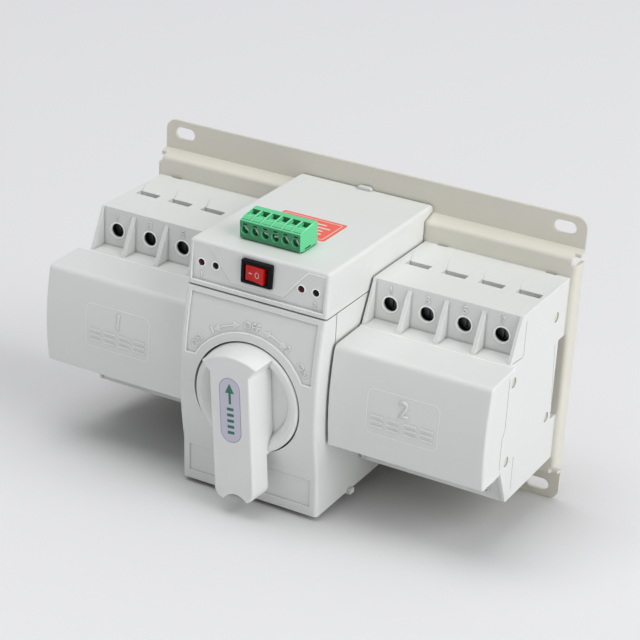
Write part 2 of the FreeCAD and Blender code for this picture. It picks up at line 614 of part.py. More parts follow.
def terminal_cutters(label, x):
    """What is cut from one pole above its middle: screw hole, wire entry and its funnel."""
    centre, top = f"{x} + pole / 2", BREAKER_TOP
    hole = rod(label + "_hole", "y", (centre, "-terminal_face - past", "screw_rise"),
               "screw_hole", "screw_recess + clamp_head + past")
    ring = cone(label + "_ring", "y", (centre, "-terminal_face", "screw_rise"),
                "screw_hole + 2 * screw_chamfer", "screw_hole", "screw_chamfer")
    shank = rod(label + "_shank_bore", "y", (centre, "-terminal_face", "screw_rise"),
                "clamp_screw + 2 * fit", "terminal_face - entry_front + past")
    entry = box(label + "_entry", (f"{x} + entry_left", "-entry_front", f"{top} - entry_depth"),
                (f"{x} + entry_right", "-entry_back", f"{top} + past"))
    wedge = prism(label + "_wedge", "YZ", [
        ("-entry_back", f"{top} + past"), ("-entry_back - past", f"{top} + past"),
        ("-entry_back - past", f"{top} - funnel_drop"), ("-entry_back", f"{top} - funnel_drop"),
        ("-funnel_end", top), ("-funnel_end", f"{top} + past"),
    ], x, f"{x} + pole")
    plan = prism(label + "_plan", "XY", [
        (f"{x} + entry_left", "-entry_back - past"),
        (f"{x} + entry_right", "-entry_back - past"),
        (f"{x} + entry_right", "-entry_back"), (f"{x} + pole - rib_shift / 2", "-rib_tip"),
        (f"{x} + pole - rib_shift / 2", "-funnel_end"), (f"{x} + rib_shift", "-funnel_end"),
        (f"{x} + rib_shift", "-rib_tip"), (f"{x} + entry_left", "-entry_back"),
    ], f"{top} - entry_depth", f"{top} + past")
    return hole, ring, shank, entry, common(label + "_funnel", wedge, plan)


def rivet_places():
    """Where the long rivets pass, as (y, z)."""
    return [("-rivet_back", "breaker_height / 2 - rivet_drop"),
            ("-rivet_back", "rivet_lift - breaker_height / 2"),
            ("-rivet_front", "nose_top - rivet_nose_drop"),
            ("-rivet_front", "rivet_nose_lift - shoulder_height / 2")]


def make_rivets(side):
    x0 = BANKS[side]
    rivets = []
    for i, (y, z) in enumerate(rivet_places()):
        name = f"rivet_{side}_{i}"
        shank = rod(name + "_shank", "x", (f"{x0} + rivet_recess / 2", y, z), "rivet",
                    f"{BANK} - rivet_recess")
        heads = [rod(f"{name}_head_{j}", "x", (low, y, z), "rivet_head", "rivet_recess / 2")
                 for j, low in enumerate((f"{x0} + rivet_recess / 2",
                                          f"{x0} + {BANK} - rivet_recess"))]
        rivets.append(fuse(name, shank, *heads))
    node(f"breaker_rivets_{side}", group(f"breaker_rivets_{side}", *rivets))


def make_terminals(side):
    """Clamp screws in their holes and the plates that they press, above and below."""
    x0 = BANKS[side]
    screws, plates = [], []
    for i in range(int(size("pole_count"))):
        centre = f"{x0} + pole * {i} + pole / 2"
        name = f"clamp_{side}_{i}"
        head_front = "-terminal_face + screw_recess"
        head = rod(name + "_head", "y", (centre, head_front, "screw_rise"),
                   "screw_hole - 4 * fit", "clamp_head")
        shank = rod(name + "_shank", "y", (centre, head_front, "screw_rise"), "clamp_screw",
                    "terminal_face - screw_recess - entry_front - clamp_gap")
        nick = box(name + "_nick", (
            f"{centre} - nick_half", f"{head_front} - past", "screw_rise - screw_hole"), (
            f"{centre} + nick_half", f"{head_front} + nick_depth", "screw_rise + screw_hole"))
        screw = cut(name, fuse(name + "_blank", head, shank), nick)
        floor = f"{BREAKER_TOP} - entry_depth"
        plate = box(name + "_plate", (
            f"{x0} + pole * {i} + entry_left + clamp_gap", "-entry_front + clamp_gap", floor), (
            f"{x0} + pole * {i} + entry_right - clamp_gap", "-entry_back - clamp_gap",
            f"{floor} + clamp_plate"))
        screws += [screw, mirrored(name + "_low", screw, (0, 0, 1))]
        plates += [plate, mirrored(name + "_plate_low", plate, (0, 0, 1))]
    node(f"terminal_screws_{side}", group(f"terminal_screws_{side}", *screws))
    node(f"terminal_clamps_{side}", group(f"terminal_clamps_{side}", *plates))


def make_toggles(side):
    """Four handles on a pivot rod, tied by a bar that reaches into the drive unit."""
    x0, sign = BANKS[side], SIGNS[side]
    node(f"toggle_rod_{side}", rod(f"toggle_rod_{side}", "x", (f"{x0}", "-toggle_pivot", "0"),
                                   "toggle_rod", f"{BANK} - rod_end_gap"))
    handles = []
    for i in range(int(size("pole_count"))):
        name = f"toggle_{side}_{i}"
        low = f"{x0} + pole * {i} + (pole - toggle_width) / 2"
        hub = rod(name + "_hub", "x", (low, "0", "0"), "toggle_hub", "toggle_width")
        arm = prism(name + "_arm", "YZ", [
            ("0", "-toggle_hub / 2"), ("0", "toggle_hub / 2"),
            ("-toggle_arm", "toggle_thick / 2 + toggle_taper"),
            ("-toggle_tip", "toggle_thick / 2 - toggle_taper"),
            ("-toggle_tip", "-toggle_thick / 2 + toggle_taper"),
            ("-toggle_arm", "-toggle_thick / 2 - toggle_taper"),
        ], low, f"{low} + toggle_width")
        bore = rod(name + "_bore", "x", (f"{low} - past", "0", "0"), "toggle_rod + 2 * fit",
                   "toggle_width + 2 * past")
        bar_bore = rod(name + "_bar_bore", "x", (f"{low} - past", "-toggle_arm", "0"),
                       "tie_bar + 2 * fit", "toggle_width + 2 * past")
        handles.append(cut(name, fuse(name + "_blank", hub, arm), bore, bar_bore))
    swung(node(f"toggles_{side}", group(f"toggles_{side}", *handles)))
    inner_end = "inside_half - bar_reach"
    length = f"{BANK} + bank_gap + unit_wall + bar_reach - (pole - toggle_width) / 2 + bar_tail"
    start = inner_end if side == "right" else f"-({inner_end}) - ({length})"
    swung(node(f"tie_bar_{side}", rod(f"tie_bar_{side}", "x", (start, "-toggle_arm", "0"),
                                      "tie_bar", length)), along_bar=True)


def swung(obj, along_bar=False):
    """Turn a piece drawn about the pivot to the handles' rest position, hanging down."""
    if along_bar:
        bind(obj, "Placement.Base.y", "-toggle_pivot - toggle_arm * cos(toggle_angle)")
        bind(obj, "Placement.Base.z", "-toggle_arm * sin(toggle_angle)")
        return
    obj.Placement = FreeCAD.Placement(
        FreeCAD.Vector(), FreeCAD.Rotation(FreeCAD.Vector(1, 0, 0), 1))
    bind(obj, "Placement.Rotation.Angle", "toggle_angle")
    place(obj, y="-toggle_pivot")


# ---- nose covers --------------------------------------------------------------------------------

def make_nose_cover(side):
    """A shell with a convex front that hides one breaker's handles."""
    tag = f"nose_cover_{side}"
    near_x, far_x = INNER, f"{INNER} + {BANK} + overhang_{side}"
    outer = prism(tag + "_outer", "YZ", [
        ("-cover_back", "cover_top"),
        ("-cover_front + cover_set", "cover_top - cover_lean", "cover_bulge"),
        ("-cover_front - cover_swell", "-cover_bottom"),
        ("-cover_side_back - cover_jog", "-cover_bottom"),
        ("-cover_side_back - cover_jog", "-cover_bottom / 2"),
        ("-cover_side_back", "-cover_bottom / 2 + cover_jog"),
        ("-cover_side_back", "cover_top - cover_side_drop"),
    ], near_x, far_x)
    top_edges = rounded(tag + "_rounded", outer, "cover_round", lambda e: (
        runs_along(e, "x") and near(middle(e).y, "-cover_front + cover_set")))
    soft = rounded(tag + "_soft", top_edges, "cover_soft", lambda e: (
        not runs_along(e, "x") and middle(e).y < -size("cover_side_back + cover_wall * 2")
        and middle(e).z > -size("cover_bottom") + NUDGE))
    cavity = prism(tag + "_cavity", "YZ", [
        ("-cover_back + past", "cover_top - cover_wall"),
        ("-cover_front + cover_set + cover_wall", "cover_top - cover_wall",
         "cover_bulge - cover_wall"),
        ("-cover_front - cover_swell + cover_wall", "-cover_bottom + cover_wall"),
        ("-cover_back + past", "-cover_bottom + cover_wall"),
    ], f"{near_x} + cover_wall", f"{far_x} - cover_wall")
    side_gap = box(tag + "_side_gap", (
        f"{near_x} - past", "-cover_side_back", "-cover_bottom - past"), (
        f"{near_x} + {BANK}", "-cover_back + past", "cover_top - cover_wall"))
    slit = box(tag + "_slit", (f"{near_x} - past", "-bar_slot_front", "-bar_slot_height / 2"),
               (f"{near_x} + cover_wall + past", "-bar_slot_back", "bar_slot_height / 2"))
    shell = cut(tag + "_shell", soft, cavity, side_gap, slit)
    if side == "right":
        node(tag, shell)
    else:
        node(tag, mirrored(tag, shell, (1, 0, 0)))


# ---- drive unit housings ------------------------------------------------------------------------

def make_hood():
    """The top cover: fascia in front, board posts inside, a port for the terminal header."""
    half, wall = "unit_half", "unit_wall"
    rear = f"-({WEB_FRONT}) - hood_clear"
    slant = "step_slope / plate_rise"
    tongue = f"step_foot + hood_clear - (hood_back - sheet) * ({slant})"
    corner = f"step_foot - step_slope + hood_clear - hood_clear * ({slant})"
    outer = prism("hood_outer", "YZ", [
        ("-hood_back", "unit_top"), ("-hood_front + hood_lean", "unit_top"),
        ("-hood_front - hood_lean", "hood_foot"), (rear, "hood_foot"), (rear, corner),
        ("-hood_back", tongue),
    ], f"-{half}", half)
    soft = rounded("hood_soft", outer, "unit_round", lambda e: (
        middle(e).z > size("hood_foot") + 1 and (
            near(middle(e).z, "unit_top") and middle(e).y < -size("hood_back") - 1e-3
            or near(abs(middle(e).x), half) and middle(e).y < -size("hood_front") + 1)))
    cavity = box("hood_cavity", ("-inside_half", f"-hood_front + {wall} + hood_lean",
                                 "hood_foot - past"),
                 ("inside_half", f"{rear} - {wall}", f"unit_top - {wall}"))
    shell = cut("hood_shell", soft, cavity)
    posts = [rod(f"hood_post_{i}", "z", (x, y, "board_top"), "post",
                 f"unit_top - {wall} / 2 - board_top") for i, (x, y) in enumerate(post_places())]
    lug = box("hood_lug", ("-lug_width / 2", "-hood_back - lug_depth", "unit_top - past"),
              ("lug_width / 2", "-hood_back", "unit_top + lug_height"))
    lug_soft = rounded("hood_lug_soft", lug, "lug_round", lambda e: (
        runs_along(e, "y") and near(middle(e).z, "unit_top + lug_height")))
    port = box("hood_port", ("-plug_shift - header_half - hood_port_gap",
                             "-header_front - hood_port_gap", "unit_top - unit_wall * 2"),
               ("-plug_shift + header_half + hood_port_gap", "-header_back + hood_port_gap",
                "unit_top + past"))
    window = box("hood_window", ("-switch_half_width - hood_port_gap", "-hood_front - overshoot",
                                 "switch_rise - switch_half_height - hood_port_gap"),
                 ("switch_half_width + hood_port_gap", "-hood_front + unit_wall * 2",
                  "switch_rise + switch_half_height + hood_port_gap"))
    seat = box("hood_bezel_seat", ("-bezel_half_width - fit", "-hood_front - overshoot",
                                   "switch_rise - bezel_half_height - fit"),
               ("bezel_half_width + fit", "-hood_front + fascia_depth",
                "switch_rise + bezel_half_height + fit"))
    lamp_holes = [rod(f"hood_lamp_{i}", "y", (x, "-hood_front - overshoot", "lamp_rise"),
                      "lamp_hole", "overshoot + unit_wall * 2") for i, x in enumerate(lamp_places())]
    lamp_holes += [cone(f"hood_lamp_rim_{i}", "y", (x, "-hood_front + fascia_depth",
                                                    "lamp_rise"),
                        "lamp_hole + 2 * lamp_chamfer", "lamp_hole", "lamp_chamfer")
                   for i, x in enumerate(lamp_places())]
    bores = [rod(f"hood_bore_{i}", "z", (x, y, "board_top - past"), "board_screw + 2 * fit",
                 "board_screw_depth + past") for i, (x, y) in enumerate(post_places())]
    panel = prism("fascia_panel", "XZ", [
        (f"-({half} - fascia_border)", "hood_foot + fascia_border"),
        (f"{half} - fascia_border", "hood_foot + fascia_border"),
        (f"{half} - fascia_border", "unit_top - fascia_border"),
        ("fascia_slope_top", "unit_top - fascia_border"),
        ("fascia_slope_foot", "hood_foot + fascia_border + fascia_strip"),
        ("-fascia_slope_foot", "hood_foot + fascia_border + fascia_strip"),
        ("-fascia_slope_top", "unit_top - fascia_border"),
        (f"-({half} - fascia_border)", "unit_top - fascia_border"),
    ], "-hood_front - 2 * past", "-hood_front + fascia_depth")
    node("hood", cut("hood", fuse("hood_posted", shell, lug_soft, *posts), port, window, seat,
                     panel, *lamp_holes, *bores))


def post_places():
    return [(f"({s}) * post_out", f"-({y})") for s in ("-1", "1")
            for y in ("post_front", "post_back")]


def lamp_places():
    return ["-lamp_outer", "-lamp_inner", "lamp_inner", "lamp_outer"]


def make_rear_housing():
    """The tub behind: back, bottom and side walls; the hood and the front cover close it."""
    half, wall = "unit_half", "unit_wall"
    back = f"-({WEB_FRONT})"
    tub = prism("tub_outer", "YZ", [
        (back, "hood_foot - seam"), ("-skirt_high_back + seam", "hood_foot - seam"),
        ("-skirt_high_back + seam", "-skirt_step + seam"),
        ("-skirt_low_back + seam", "-skirt_step + seam"), ("-skirt_low_back + seam", "-unit_bottom"),
        (back, "-unit_bottom"),
    ], f"-{half}", half)
    cavity = box("tub_cavity", ("-inside_half", "-skirt_high_back - past",
                                f"-unit_bottom + {wall}"),
                 ("inside_half", f"{back} - {wall}", "hood_foot + past"))
    spots = [(x, z) for x, z in fixing_places() if "fix_drive" in x]
    bosses = [rod(f"tub_boss_{i}", "y", (x, f"{back} - fix_boss_depth", z), "fix_boss",
                  f"fix_boss_depth - {wall} / 2") for i, (x, z) in enumerate(spots)]
    shell = cut("tub_shell", tub, cavity, *bar_slits("tub"))
    node("rear_housing", cut("rear_housing", fuse("tub_bossed", shell, *bosses),
                             *fixing_holes("tub", spots)))


def bar_slits(label):
    """Cutters through both side walls, where the tie bars swing."""
    return [box(f"{label}_slit_{side}", (low, "-bar_slot_front", "-bar_slot_height / 2"),
                (f"{low} + unit_wall + 2 * past", "-bar_slot_back", "bar_slot_height / 2"))
            for side, low in (("left", "-unit_half - past"), ("right", "inside_half - past"))]


def front_outline(inset):
    """The front cover's convex face as three corners, moved in by a wall."""
    return [
        (f"-front_edge + {inset}", f"hood_foot - seam - {inset}", f"front_bulge - {inset}"),
        (f"-front_kink + {inset}", "-kink_rise"),
        (f"-front_foot + {inset}", f"-unit_bottom + {inset}"),
    ]


def make_front_cover():
    """The dial cover: convex face, knob hole, dial and label recesses, deep lower skirt."""
    half = "unit_half"
    outer = prism("front_outer", "YZ", front_outline("0") + [
        ("-skirt_low_back", "-unit_bottom"), ("-skirt_low_back", "-skirt_step"),
        ("-skirt_high_back", "-skirt_step"), ("-skirt_high_back", "hood_foot - seam"),
    ], f"-{half}", half)
    smooth = rounded("front_smooth", outer, "front_crease", lambda e: (
        runs_along(e, "x") and near(middle(e).z, "-kink_rise")))
    soft = rounded("front_soft", smooth, "unit_round", lambda e: (
        middle(e).y < -size("skirt_high_back") - 2 * NUDGE and (
            near(abs(middle(e).x), half) and middle(e).z < size("hood_foot") - 2 * NUDGE
            and middle(e).z > -size("unit_bottom") + NUDGE)))
    cavity = prism("front_cavity", "YZ", front_outline("front_wall") + [
        ("-skirt_low_back + past", "-unit_bottom + front_wall"),
        ("-skirt_low_back + past", "hood_foot - seam - front_wall"),
    ], "-inside_half", "inside_half")
    hole = rod("front_knob_hole", "y", ("0", "-front_edge - overshoot", KNOB_Z),
               "knob_disc + 2 * knob_gap", "overshoot * 2")
    dial = cut("dial_area", box("dial_box", ("-dial_half_width", "-front_edge - overshoot",
                                             "dial_bottom"),
                                ("dial_half_width", "-front_edge + overshoot", "dial_top")),
               rod("dial_ring", "y", ("0", "-front_edge - overshoot * 2", KNOB_Z),
                   "dial_ring * 2", "overshoot * 4"))
    label = box("label_area", ("-label_half_width", "-front_edge - overshoot", "-label_bottom"),
                ("label_half_width", "-front_edge + overshoot", "-label_top"))
    recesses = [skin_cut(name, area, depth) for name, area, depth in (
        ("dial_recess", dial, "dial_depth"), ("label_recess", label, "label_depth"))]
    peg = box("front_peg", ("inside_half", "-peg_front", "-unit_bottom - peg_drop"),
              (f"{half} + peg_reach", "-peg_back", "-unit_bottom + past"))
    node("front_cover", cut("front_cover", fuse("front_pegged", soft, peg), cavity, hole,
                            *recesses, *bar_slits("front")))


def skin_cut(name, area, depth):
    """The part of an area that lies within a depth of the front cover's convex face."""
    keep = prism(name + "_keep", "YZ", front_outline(depth) + [
        ("0", "-unit_bottom"), ("0", f"hood_foot - seam - {depth}")],
        "-unit_width", "unit_width")
    return cut(name, area, keep)


# ---- knob and shaft -----------------------------------------------------------------------------

# shares of the draft by which the grip's slanted corners move: outward, upward and down the neck
EAR_OUT, EAR_UP, NECK_DOWN = 0.6, 0.4, 0.3


def grip_outline(spread):
    """The grip seen from the front, about the knob's axis, spread out by a draft."""
    side, ear = f"grip_half + {spread}", f"ear_half + {spread} * {EAR_OUT}"
    ear_top, neck = f"ear_rise + {spread} * {EAR_UP}", f"neck_rise - {spread} * {NECK_DOWN}"
    tip = f"tip_half + {spread} * {EAR_UP}"
    return [
        (ear, ear_top, f"grip_top + {spread} * {EAR_OUT}"), (f"-({ear})", ear_top),
        (f"-({side})", neck), (f"-({side})", "-grip_shoulder", "tip_round"),
        (f"-({tip})", "-tip_drop", "-notch_round"), (tip, "-tip_drop", "tip_round"),
        (side, "-grip_shoulder"), (side, neck),
    ]


def make_knob():
    """A disc with a rim and two finger pockets, crossed by a drafted wedge grip."""
    disc = doc.addObject("PartDesign::Body", "knob_disc")
    sketch = sketched(disc, "YZ", [
        ("-disc_back", "0"), ("-disc_back", "knob_disc / 2"),
        ("-rim_front + rim_round", "knob_disc / 2", "rim_round"),
        ("-rim_front", "knob_disc / 2 - rim_round"), ("-rim_front", "rim_inner / 2", "rim_bulge"),
        ("-pocket_floor", "pocket_foot / 2"), ("-pocket_floor", "0"),
    ], "knob_disc_outline")
    turn = disc.newObject("PartDesign::Revolution", "knob_disc_turn")
    turn.Profile = sketch
    turn.ReferenceAxis = (sketch, ["H_Axis"])
    turn.Angle = 360
    grip = doc.addObject("PartDesign::Body", "knob_grip")
    root = sketched(grip, "XZ", grip_outline("grip_draft"), "grip_root")
    face = sketched(grip, "XZ", grip_outline("0"), "grip_face")
    for outline, station in ((root, "pocket_floor - sunk"), (face, "grip_front")):
        outline.AttachmentOffset = FreeCAD.Placement()
        outline.setExpression("AttachmentOffset.Base.z", cells(station))
    loft = grip.newObject("PartDesign::AdditiveLoft", "grip_loft")
    loft.Profile = root
    loft.Sections = [face]
    loft.Ruled = True
    doc.recompute()
    edges = [f"Edge{i}" for i, e in enumerate(loft.Shape.Edges, start=1)
             if near(e.BoundBox.YMin, "-grip_front") and near(e.BoundBox.YMax, "-grip_front")]
    edge_round = grip.newObject("PartDesign::Fillet", "grip_edge_round")
    edge_round.Base = (loft, edges)
    bind(edge_round, "Radius", "grip_edge")
    back_relief = box("grip_relief", ("-knob_disc", "-grip_lift", "-tip_drop - overshoot"),
                      ("knob_disc", "-disc_back", "-knob_disc / 2 - 4 * fit"))
    within = rod("disc_bounds", "y", ("0", "-grip_front - past", "0"), "knob_disc + 8 * fit",
                 "grip_front - disc_back + past")
    reach = box("tail_bounds", ("-knob_disc / 2", "-grip_front - past", "-tip_drop - overshoot"),
                ("knob_disc / 2", "-grip_lift", "0"))
    grip_kept = common("grip_kept", cut("grip_relieved", grip, back_relief),
                       fuse("grip_bounds", within, reach))
    hub = rod("knob_hub", "y", ("0", "-disc_back - sunk", "0"), "hub", "disc_back - hub_back + sunk")
    socket = box("knob_socket", ("-shaft_square / 2 - fit", "-shaft_end - fit",
                                 "-shaft_square / 2 - fit"),
                 ("shaft_square / 2 + fit", "-hub_back + past", "shaft_square / 2 + fit"))
    knob = node("knob", cut("knob", fuse("knob_blank", disc, grip_kept, hub), socket))
    turned_about_axis(knob)


def turned_about_axis(obj):
    """Put a piece drawn about the knob's axis in its place, at the knob's rest turn."""
    obj.Placement = FreeCAD.Placement(
        FreeCAD.Vector(), FreeCAD.Rotation(FreeCAD.Vector(0, 1, 0), -1))
    bind(obj, "Placement.Rotation.Angle", "-knob_rest_turn")
    place(obj, z=KNOB_Z)


def make_shaft():
    """The main shaft with a square end, its bushes and the clip behind."""
    round_part = rod("shaft_round", "y", ("0", "-hub_back", "0"), "shaft",
                     "hub_back - shaft_back")
    square = box("shaft_square_end", ("-shaft_square / 2", "-shaft_end", "-shaft_square / 2"),
                 ("shaft_square / 2", "-hub_back + sunk", "shaft_square / 2"))
    turned_about_axis(node("main_shaft", fuse("main_shaft", round_part, square)))
    clip = cut("shaft_clip", rod("clip_disc", "y", (
        "0", "-frame_rear_face + frame_sheet + bush_lip + gear_gap", KNOB_Z), "clip",
        "clip_thick"), rod("clip_bore", "y", ("0", "-frame_rear_face", KNOB_Z),
                           "shaft + 2 * fit", "overshoot * 2"))
    node("shaft_clip", clip)
    for name, face in (("front_bush", "frame_front_face"), ("rear_bush", "frame_rear_face")):
        barrel = rod(name + "_barrel", "y", ("0", f"-{face}", KNOB_Z), "shaft + 2 * bush_wall",
                     "frame_sheet + bush_lip")
        lip = rod(name + "_lip", "y", ("0", f"-{face} + frame_sheet", KNOB_Z), "bush_flange",
                  "bush_lip")
        bore = rod(name + "_bore", "y", ("0", f"-{face} - past", KNOB_Z), "shaft + 2 * fit",
                   "overshoot")
        node(name, cut(name, fuse(name + "_blank", barrel, lip), bore))


# ---- frame --------------------------------------------------------------------------------------

def spacer_places():
    return [(f"({s}) * spacer_out", z) for s in ("-1", "1")
            for z in ("spacer_high", "-spacer_low")]


def make_frame():
    """Two plates that carry the shaft, four pairs of spacers and the screws in front."""
    plates = {"frame_front": "frame_front_face", "frame_rear": "frame_rear_face"}
    for name, face in plates.items():
        plate = box(name + "_sheet", ("-frame_half", f"-{face}", "-frame_bottom"),
                    ("frame_half", f"-{face} + frame_sheet", "frame_top"))
        through = "frame_sheet + 2 * past"
        bores = [rod(name + "_bush_hole", "y", ("0", f"-{face} - past", KNOB_Z),
                     "shaft + 2 * bush_wall + 2 * fit", through)]
        bores += [rod(f"{name}_screw_hole_{i}", "y", (x, f"-{face} - past", z), "frame_screw",
                      through) for i, (x, z) in enumerate(spacer_places())]
        if name == "frame_front":
            bores += [cone(f"frame_sink_{i}", "y", (x, f"-{face}", z), "frame_head + 2 * fit",
                           "frame_screw", "frame_head_depth + fit")
                      for i, (x, z) in enumerate(spacer_places())]
            bores.append(rod("frame_motor_hole", "y", (MOTOR_X, f"-{face} - past", IDLER_Z),
                             "motor_boss + 4 * fit", through))
            bores.append(rod("frame_pin_hole", "y", (IDLER_X, f"-{face} - past", IDLER_Z),
                             "idler_pin + fit", through))
        node(name, cut(name, plate, *bores))
    spacers, screws = [], []
    back = f"-({WEB_FRONT}) - unit_wall"
    for i, (x, z) in enumerate(spacer_places()):
        spacers.append(rod(f"spacer_rear_{i}", "y", (x, "-frame_rear_face + frame_sheet", z),
                           "spacer", f"frame_rear_face - frame_sheet + ({back})"))
        middle_spacer = rod(f"spacer_mid_{i}", "y", (x, "-frame_front_face + frame_sheet", z),
                            "spacer", "frame_front_face - frame_sheet - frame_rear_face")
        thread = rod(f"spacer_thread_{i}", "y", (x, "-frame_front_face", z),
                     "frame_screw", "frame_sheet + frame_thread + fit")
        spacers.append(cut(f"spacer_front_{i}", middle_spacer, thread))
        head = cone(f"frame_head_{i}", "y", (x, "-frame_front_face", z), "frame_head",
                    "frame_screw - 2 * fit", "frame_head_depth")
        shank = rod(f"frame_shank_{i}", "y", (x, "-frame_front_face + sunk", z),
                    "frame_screw - 2 * fit", "frame_sheet + frame_thread - sunk")
        screws.append(fuse(f"frame_screw_{i}", head, shank))
    node("frame_spacers", group("frame_spacers", *spacers))
    node("frame_screws", group("frame_screws", *screws))


# ---- gears, cam, motor and limit switches -------------------------------------------------------

PRESSURE_ANGLE = 20                 # degrees
ADDENDUM, DEDENDUM = 0.85, 1.2      # tooth above and below the pitch circle, in modules
ROOT_SPREAD = 0.2                   # how much wider a tooth is at its root, in radians per tooth
FLANK_STEPS = 3


def gear_shape(module, teeth, width, backlash, phase):
    """A spur gear about +Y from y = 0, with involute flanks on every tooth."""
    pitch, pressure = module * teeth / 2, math.radians(PRESSURE_ANGLE)
    base = pitch * math.cos(pressure)
    tip, root = pitch + ADDENDUM * module, pitch - DEDENDUM * module
    involute_at_pitch = math.tan(pressure) - pressure
    half_tooth = math.pi / (2 * teeth) - backlash / (2 * pitch) / 2
    flank_start = max(base, root)
    flank = []
    for step in range(FLANK_STEPS + 1):
        radius = flank_start + (tip - flank_start) * step / FLANK_STEPS
        roll = math.acos(min(base / radius, 1.0))
        flank.append((radius, half_tooth + involute_at_pitch - (math.tan(roll) - roll)))
    points = []
    for tooth in range(teeth):
        centre = 2 * math.pi * tooth / teeth + phase
        side = [(root, flank[0][1] + ROOT_SPREAD / teeth)] + flank
        for radius, half in side:
            points.append((radius, centre - half))
        for radius, half in reversed(side):
            points.append((radius, centre + half))
    corners = [FreeCAD.Vector(r * math.sin(a), 0, r * math.cos(a)) for r, a in points]
    face = Part.Face(Part.makePolygon(corners + corners[:1]))
    return face.extrude(FreeCAD.Vector(0, width, 0))


def shaped(label, shape, x, y, z):
    """A feature that holds a computed shape, put at expressions of the sheet."""
    feature = doc.addObject("Part::Feature", label)
    feature.Shape = shape
    place(feature, x, y, z)
    return feature


def make_gears():
    """Main gear, compound idler on its pin, and the motor's pinion, in mesh at rest."""
    coarse, fine, backlash = size("coarse_module"), size("fine_module"), size("gear_backlash")
    main, pinion = int(size("main_teeth")), int(size("pinion_teeth"))
    wheel, motor = int(size("wheel_teeth")), int(size("motor_teeth"))
    toward_idler = math.atan2(size(IDLER_X), size(IDLER_Z) + size("knob_drop"))
    # a tooth of one gear points along the line of centres, a gap of the other faces it
    main_phase = toward_idler % (2 * math.pi / main)
    pinion_phase = (toward_idler + math.pi + math.pi / pinion) % (2 * math.pi / pinion)
    wheel_phase = (math.pi / 2) % (2 * math.pi / wheel)
    motor_phase = (-math.pi / 2 + math.pi / motor) % (2 * math.pi / motor)
    gear = shaped("main_gear_rim", gear_shape(coarse, main, size("main_gear_face"), backlash,
                                              main_phase), "0", "-main_gear_back - main_gear_face",
                  KNOB_Z)
    hub = rod("main_gear_hub", "y", ("0", "-main_gear_back", KNOB_Z), "gear_hub",
              "main_gear_back - frame_front_face - gear_gap")
    bore = rod("main_gear_bore", "y", ("0", "-main_gear_back - overshoot", KNOB_Z), "shaft + fit",
               "overshoot * 3")
    windows = [rod(f"main_gear_window_{i}", "y", (
        f"window_ring * sin({60 * i})", "-main_gear_back - overshoot",
        f"-knob_drop + window_ring * cos({60 * i})"), "gear_window", "overshoot * 2")
        for i in range(6)]
    node("main_gear", cut("main_gear", fuse("main_gear_blank", gear, hub), bore, *windows))
    wheel_rim = shaped("idler_wheel_rim", gear_shape(fine, wheel, size("wheel_face"), backlash,
                                                     wheel_phase), IDLER_X,
                       "-wheel_back - wheel_face", IDLER_Z)
    small = shaped("idler_pinion_rim", gear_shape(
        coarse, pinion, size("main_gear_back + main_gear_face - wheel_back - wheel_face / 2"),
        backlash, pinion_phase), IDLER_X, "-main_gear_back - main_gear_face", IDLER_Z)
    idler_bore = rod("idler_bore", "y", (IDLER_X, "-main_gear_back - overshoot", IDLER_Z),
                     "idler_pin + 2 * fit", "overshoot * 3")
    node("idler_gear", cut("idler_gear", fuse("idler_blank", wheel_rim, small), idler_bore))
    pin = rod("idler_pin_rod", "y", (IDLER_X, "-main_gear_back - main_gear_face - gear_gap",
                                     IDLER_Z), "idler_pin",
              "main_gear_back + main_gear_face + gear_gap - frame_front_face + frame_sheet")
    head = rod("idler_pin_cap", "y", (
        IDLER_X, "-main_gear_back - main_gear_face - gear_gap - pin_head_depth", IDLER_Z),
        "pin_head", "pin_head_depth")
    node("idler_pin", fuse("idler_pin", pin, head))
    rotor_rim = shaped("motor_pinion_rim", gear_shape(fine, motor, size("wheel_face"), backlash,
                                                      motor_phase), MOTOR_X,
                       "-wheel_back - wheel_face", IDLER_Z)
    rotor = rod("motor_rotor", "y", (MOTOR_X, "-wheel_back - wheel_face", IDLER_Z),
                "motor_shaft", "wheel_back + wheel_face - frame_front_face + motor_shaft_depth")
    node("motor_pinion", fuse("motor_pinion", rotor_rim, rotor))


def make_motor():
    face = "-frame_front_face + frame_sheet"
    can = rod("motor_can", "y", (MOTOR_X, face, IDLER_Z), "motor_diameter", "motor_length")
    boss = rod("motor_front_boss", "y", (MOTOR_X, "-frame_front_face", IDLER_Z), "motor_boss",
               "frame_sheet + sunk")
    tail = rod("motor_tail", "y", (MOTOR_X, f"{face} + motor_length - sunk", IDLER_Z),
               "motor_tail", "motor_tail_length + sunk")
    bore = rod("motor_bore", "y", (MOTOR_X, "-frame_front_face - past", IDLER_Z),
               "motor_shaft + 2 * fit", "motor_shaft_depth + motor_end_gap + past")
    node("motor", cut("motor", fuse("motor_blank", can, boss, tail), bore))


def make_cam():
    """A disc with two lobes that swings past the ends of the tie bars."""
    disc = rod("cam_plate", "y", ("0", "-cam_back - cam_thick", "0"), "cam_disc", "cam_thick")
    lobes = [rod(f"cam_lobe_{i}", "y", (
        f"({s}) * lobe_arm * sin(lobe_angle)", "-cam_back - cam_thick",
        "lobe_arm * cos(lobe_angle)"), "lobe_radius * 2", "cam_thick")
        for i, s in enumerate(("-1", "1"))]
    hub = rod("cam_hub", "y", ("0", "-cam_back - cam_thick", "0"), "gear_hub",
              "cam_thick + cam_back - main_gear_back - main_gear_face")
    bore = rod("cam_bore", "y", ("0", "-cam_back - overshoot", "0"), "shaft + fit", "overshoot * 2")
    turned_about_axis(node("drive_cam", cut("drive_cam", fuse("cam_blank", disc, hub, *lobes),
                                            bore)))


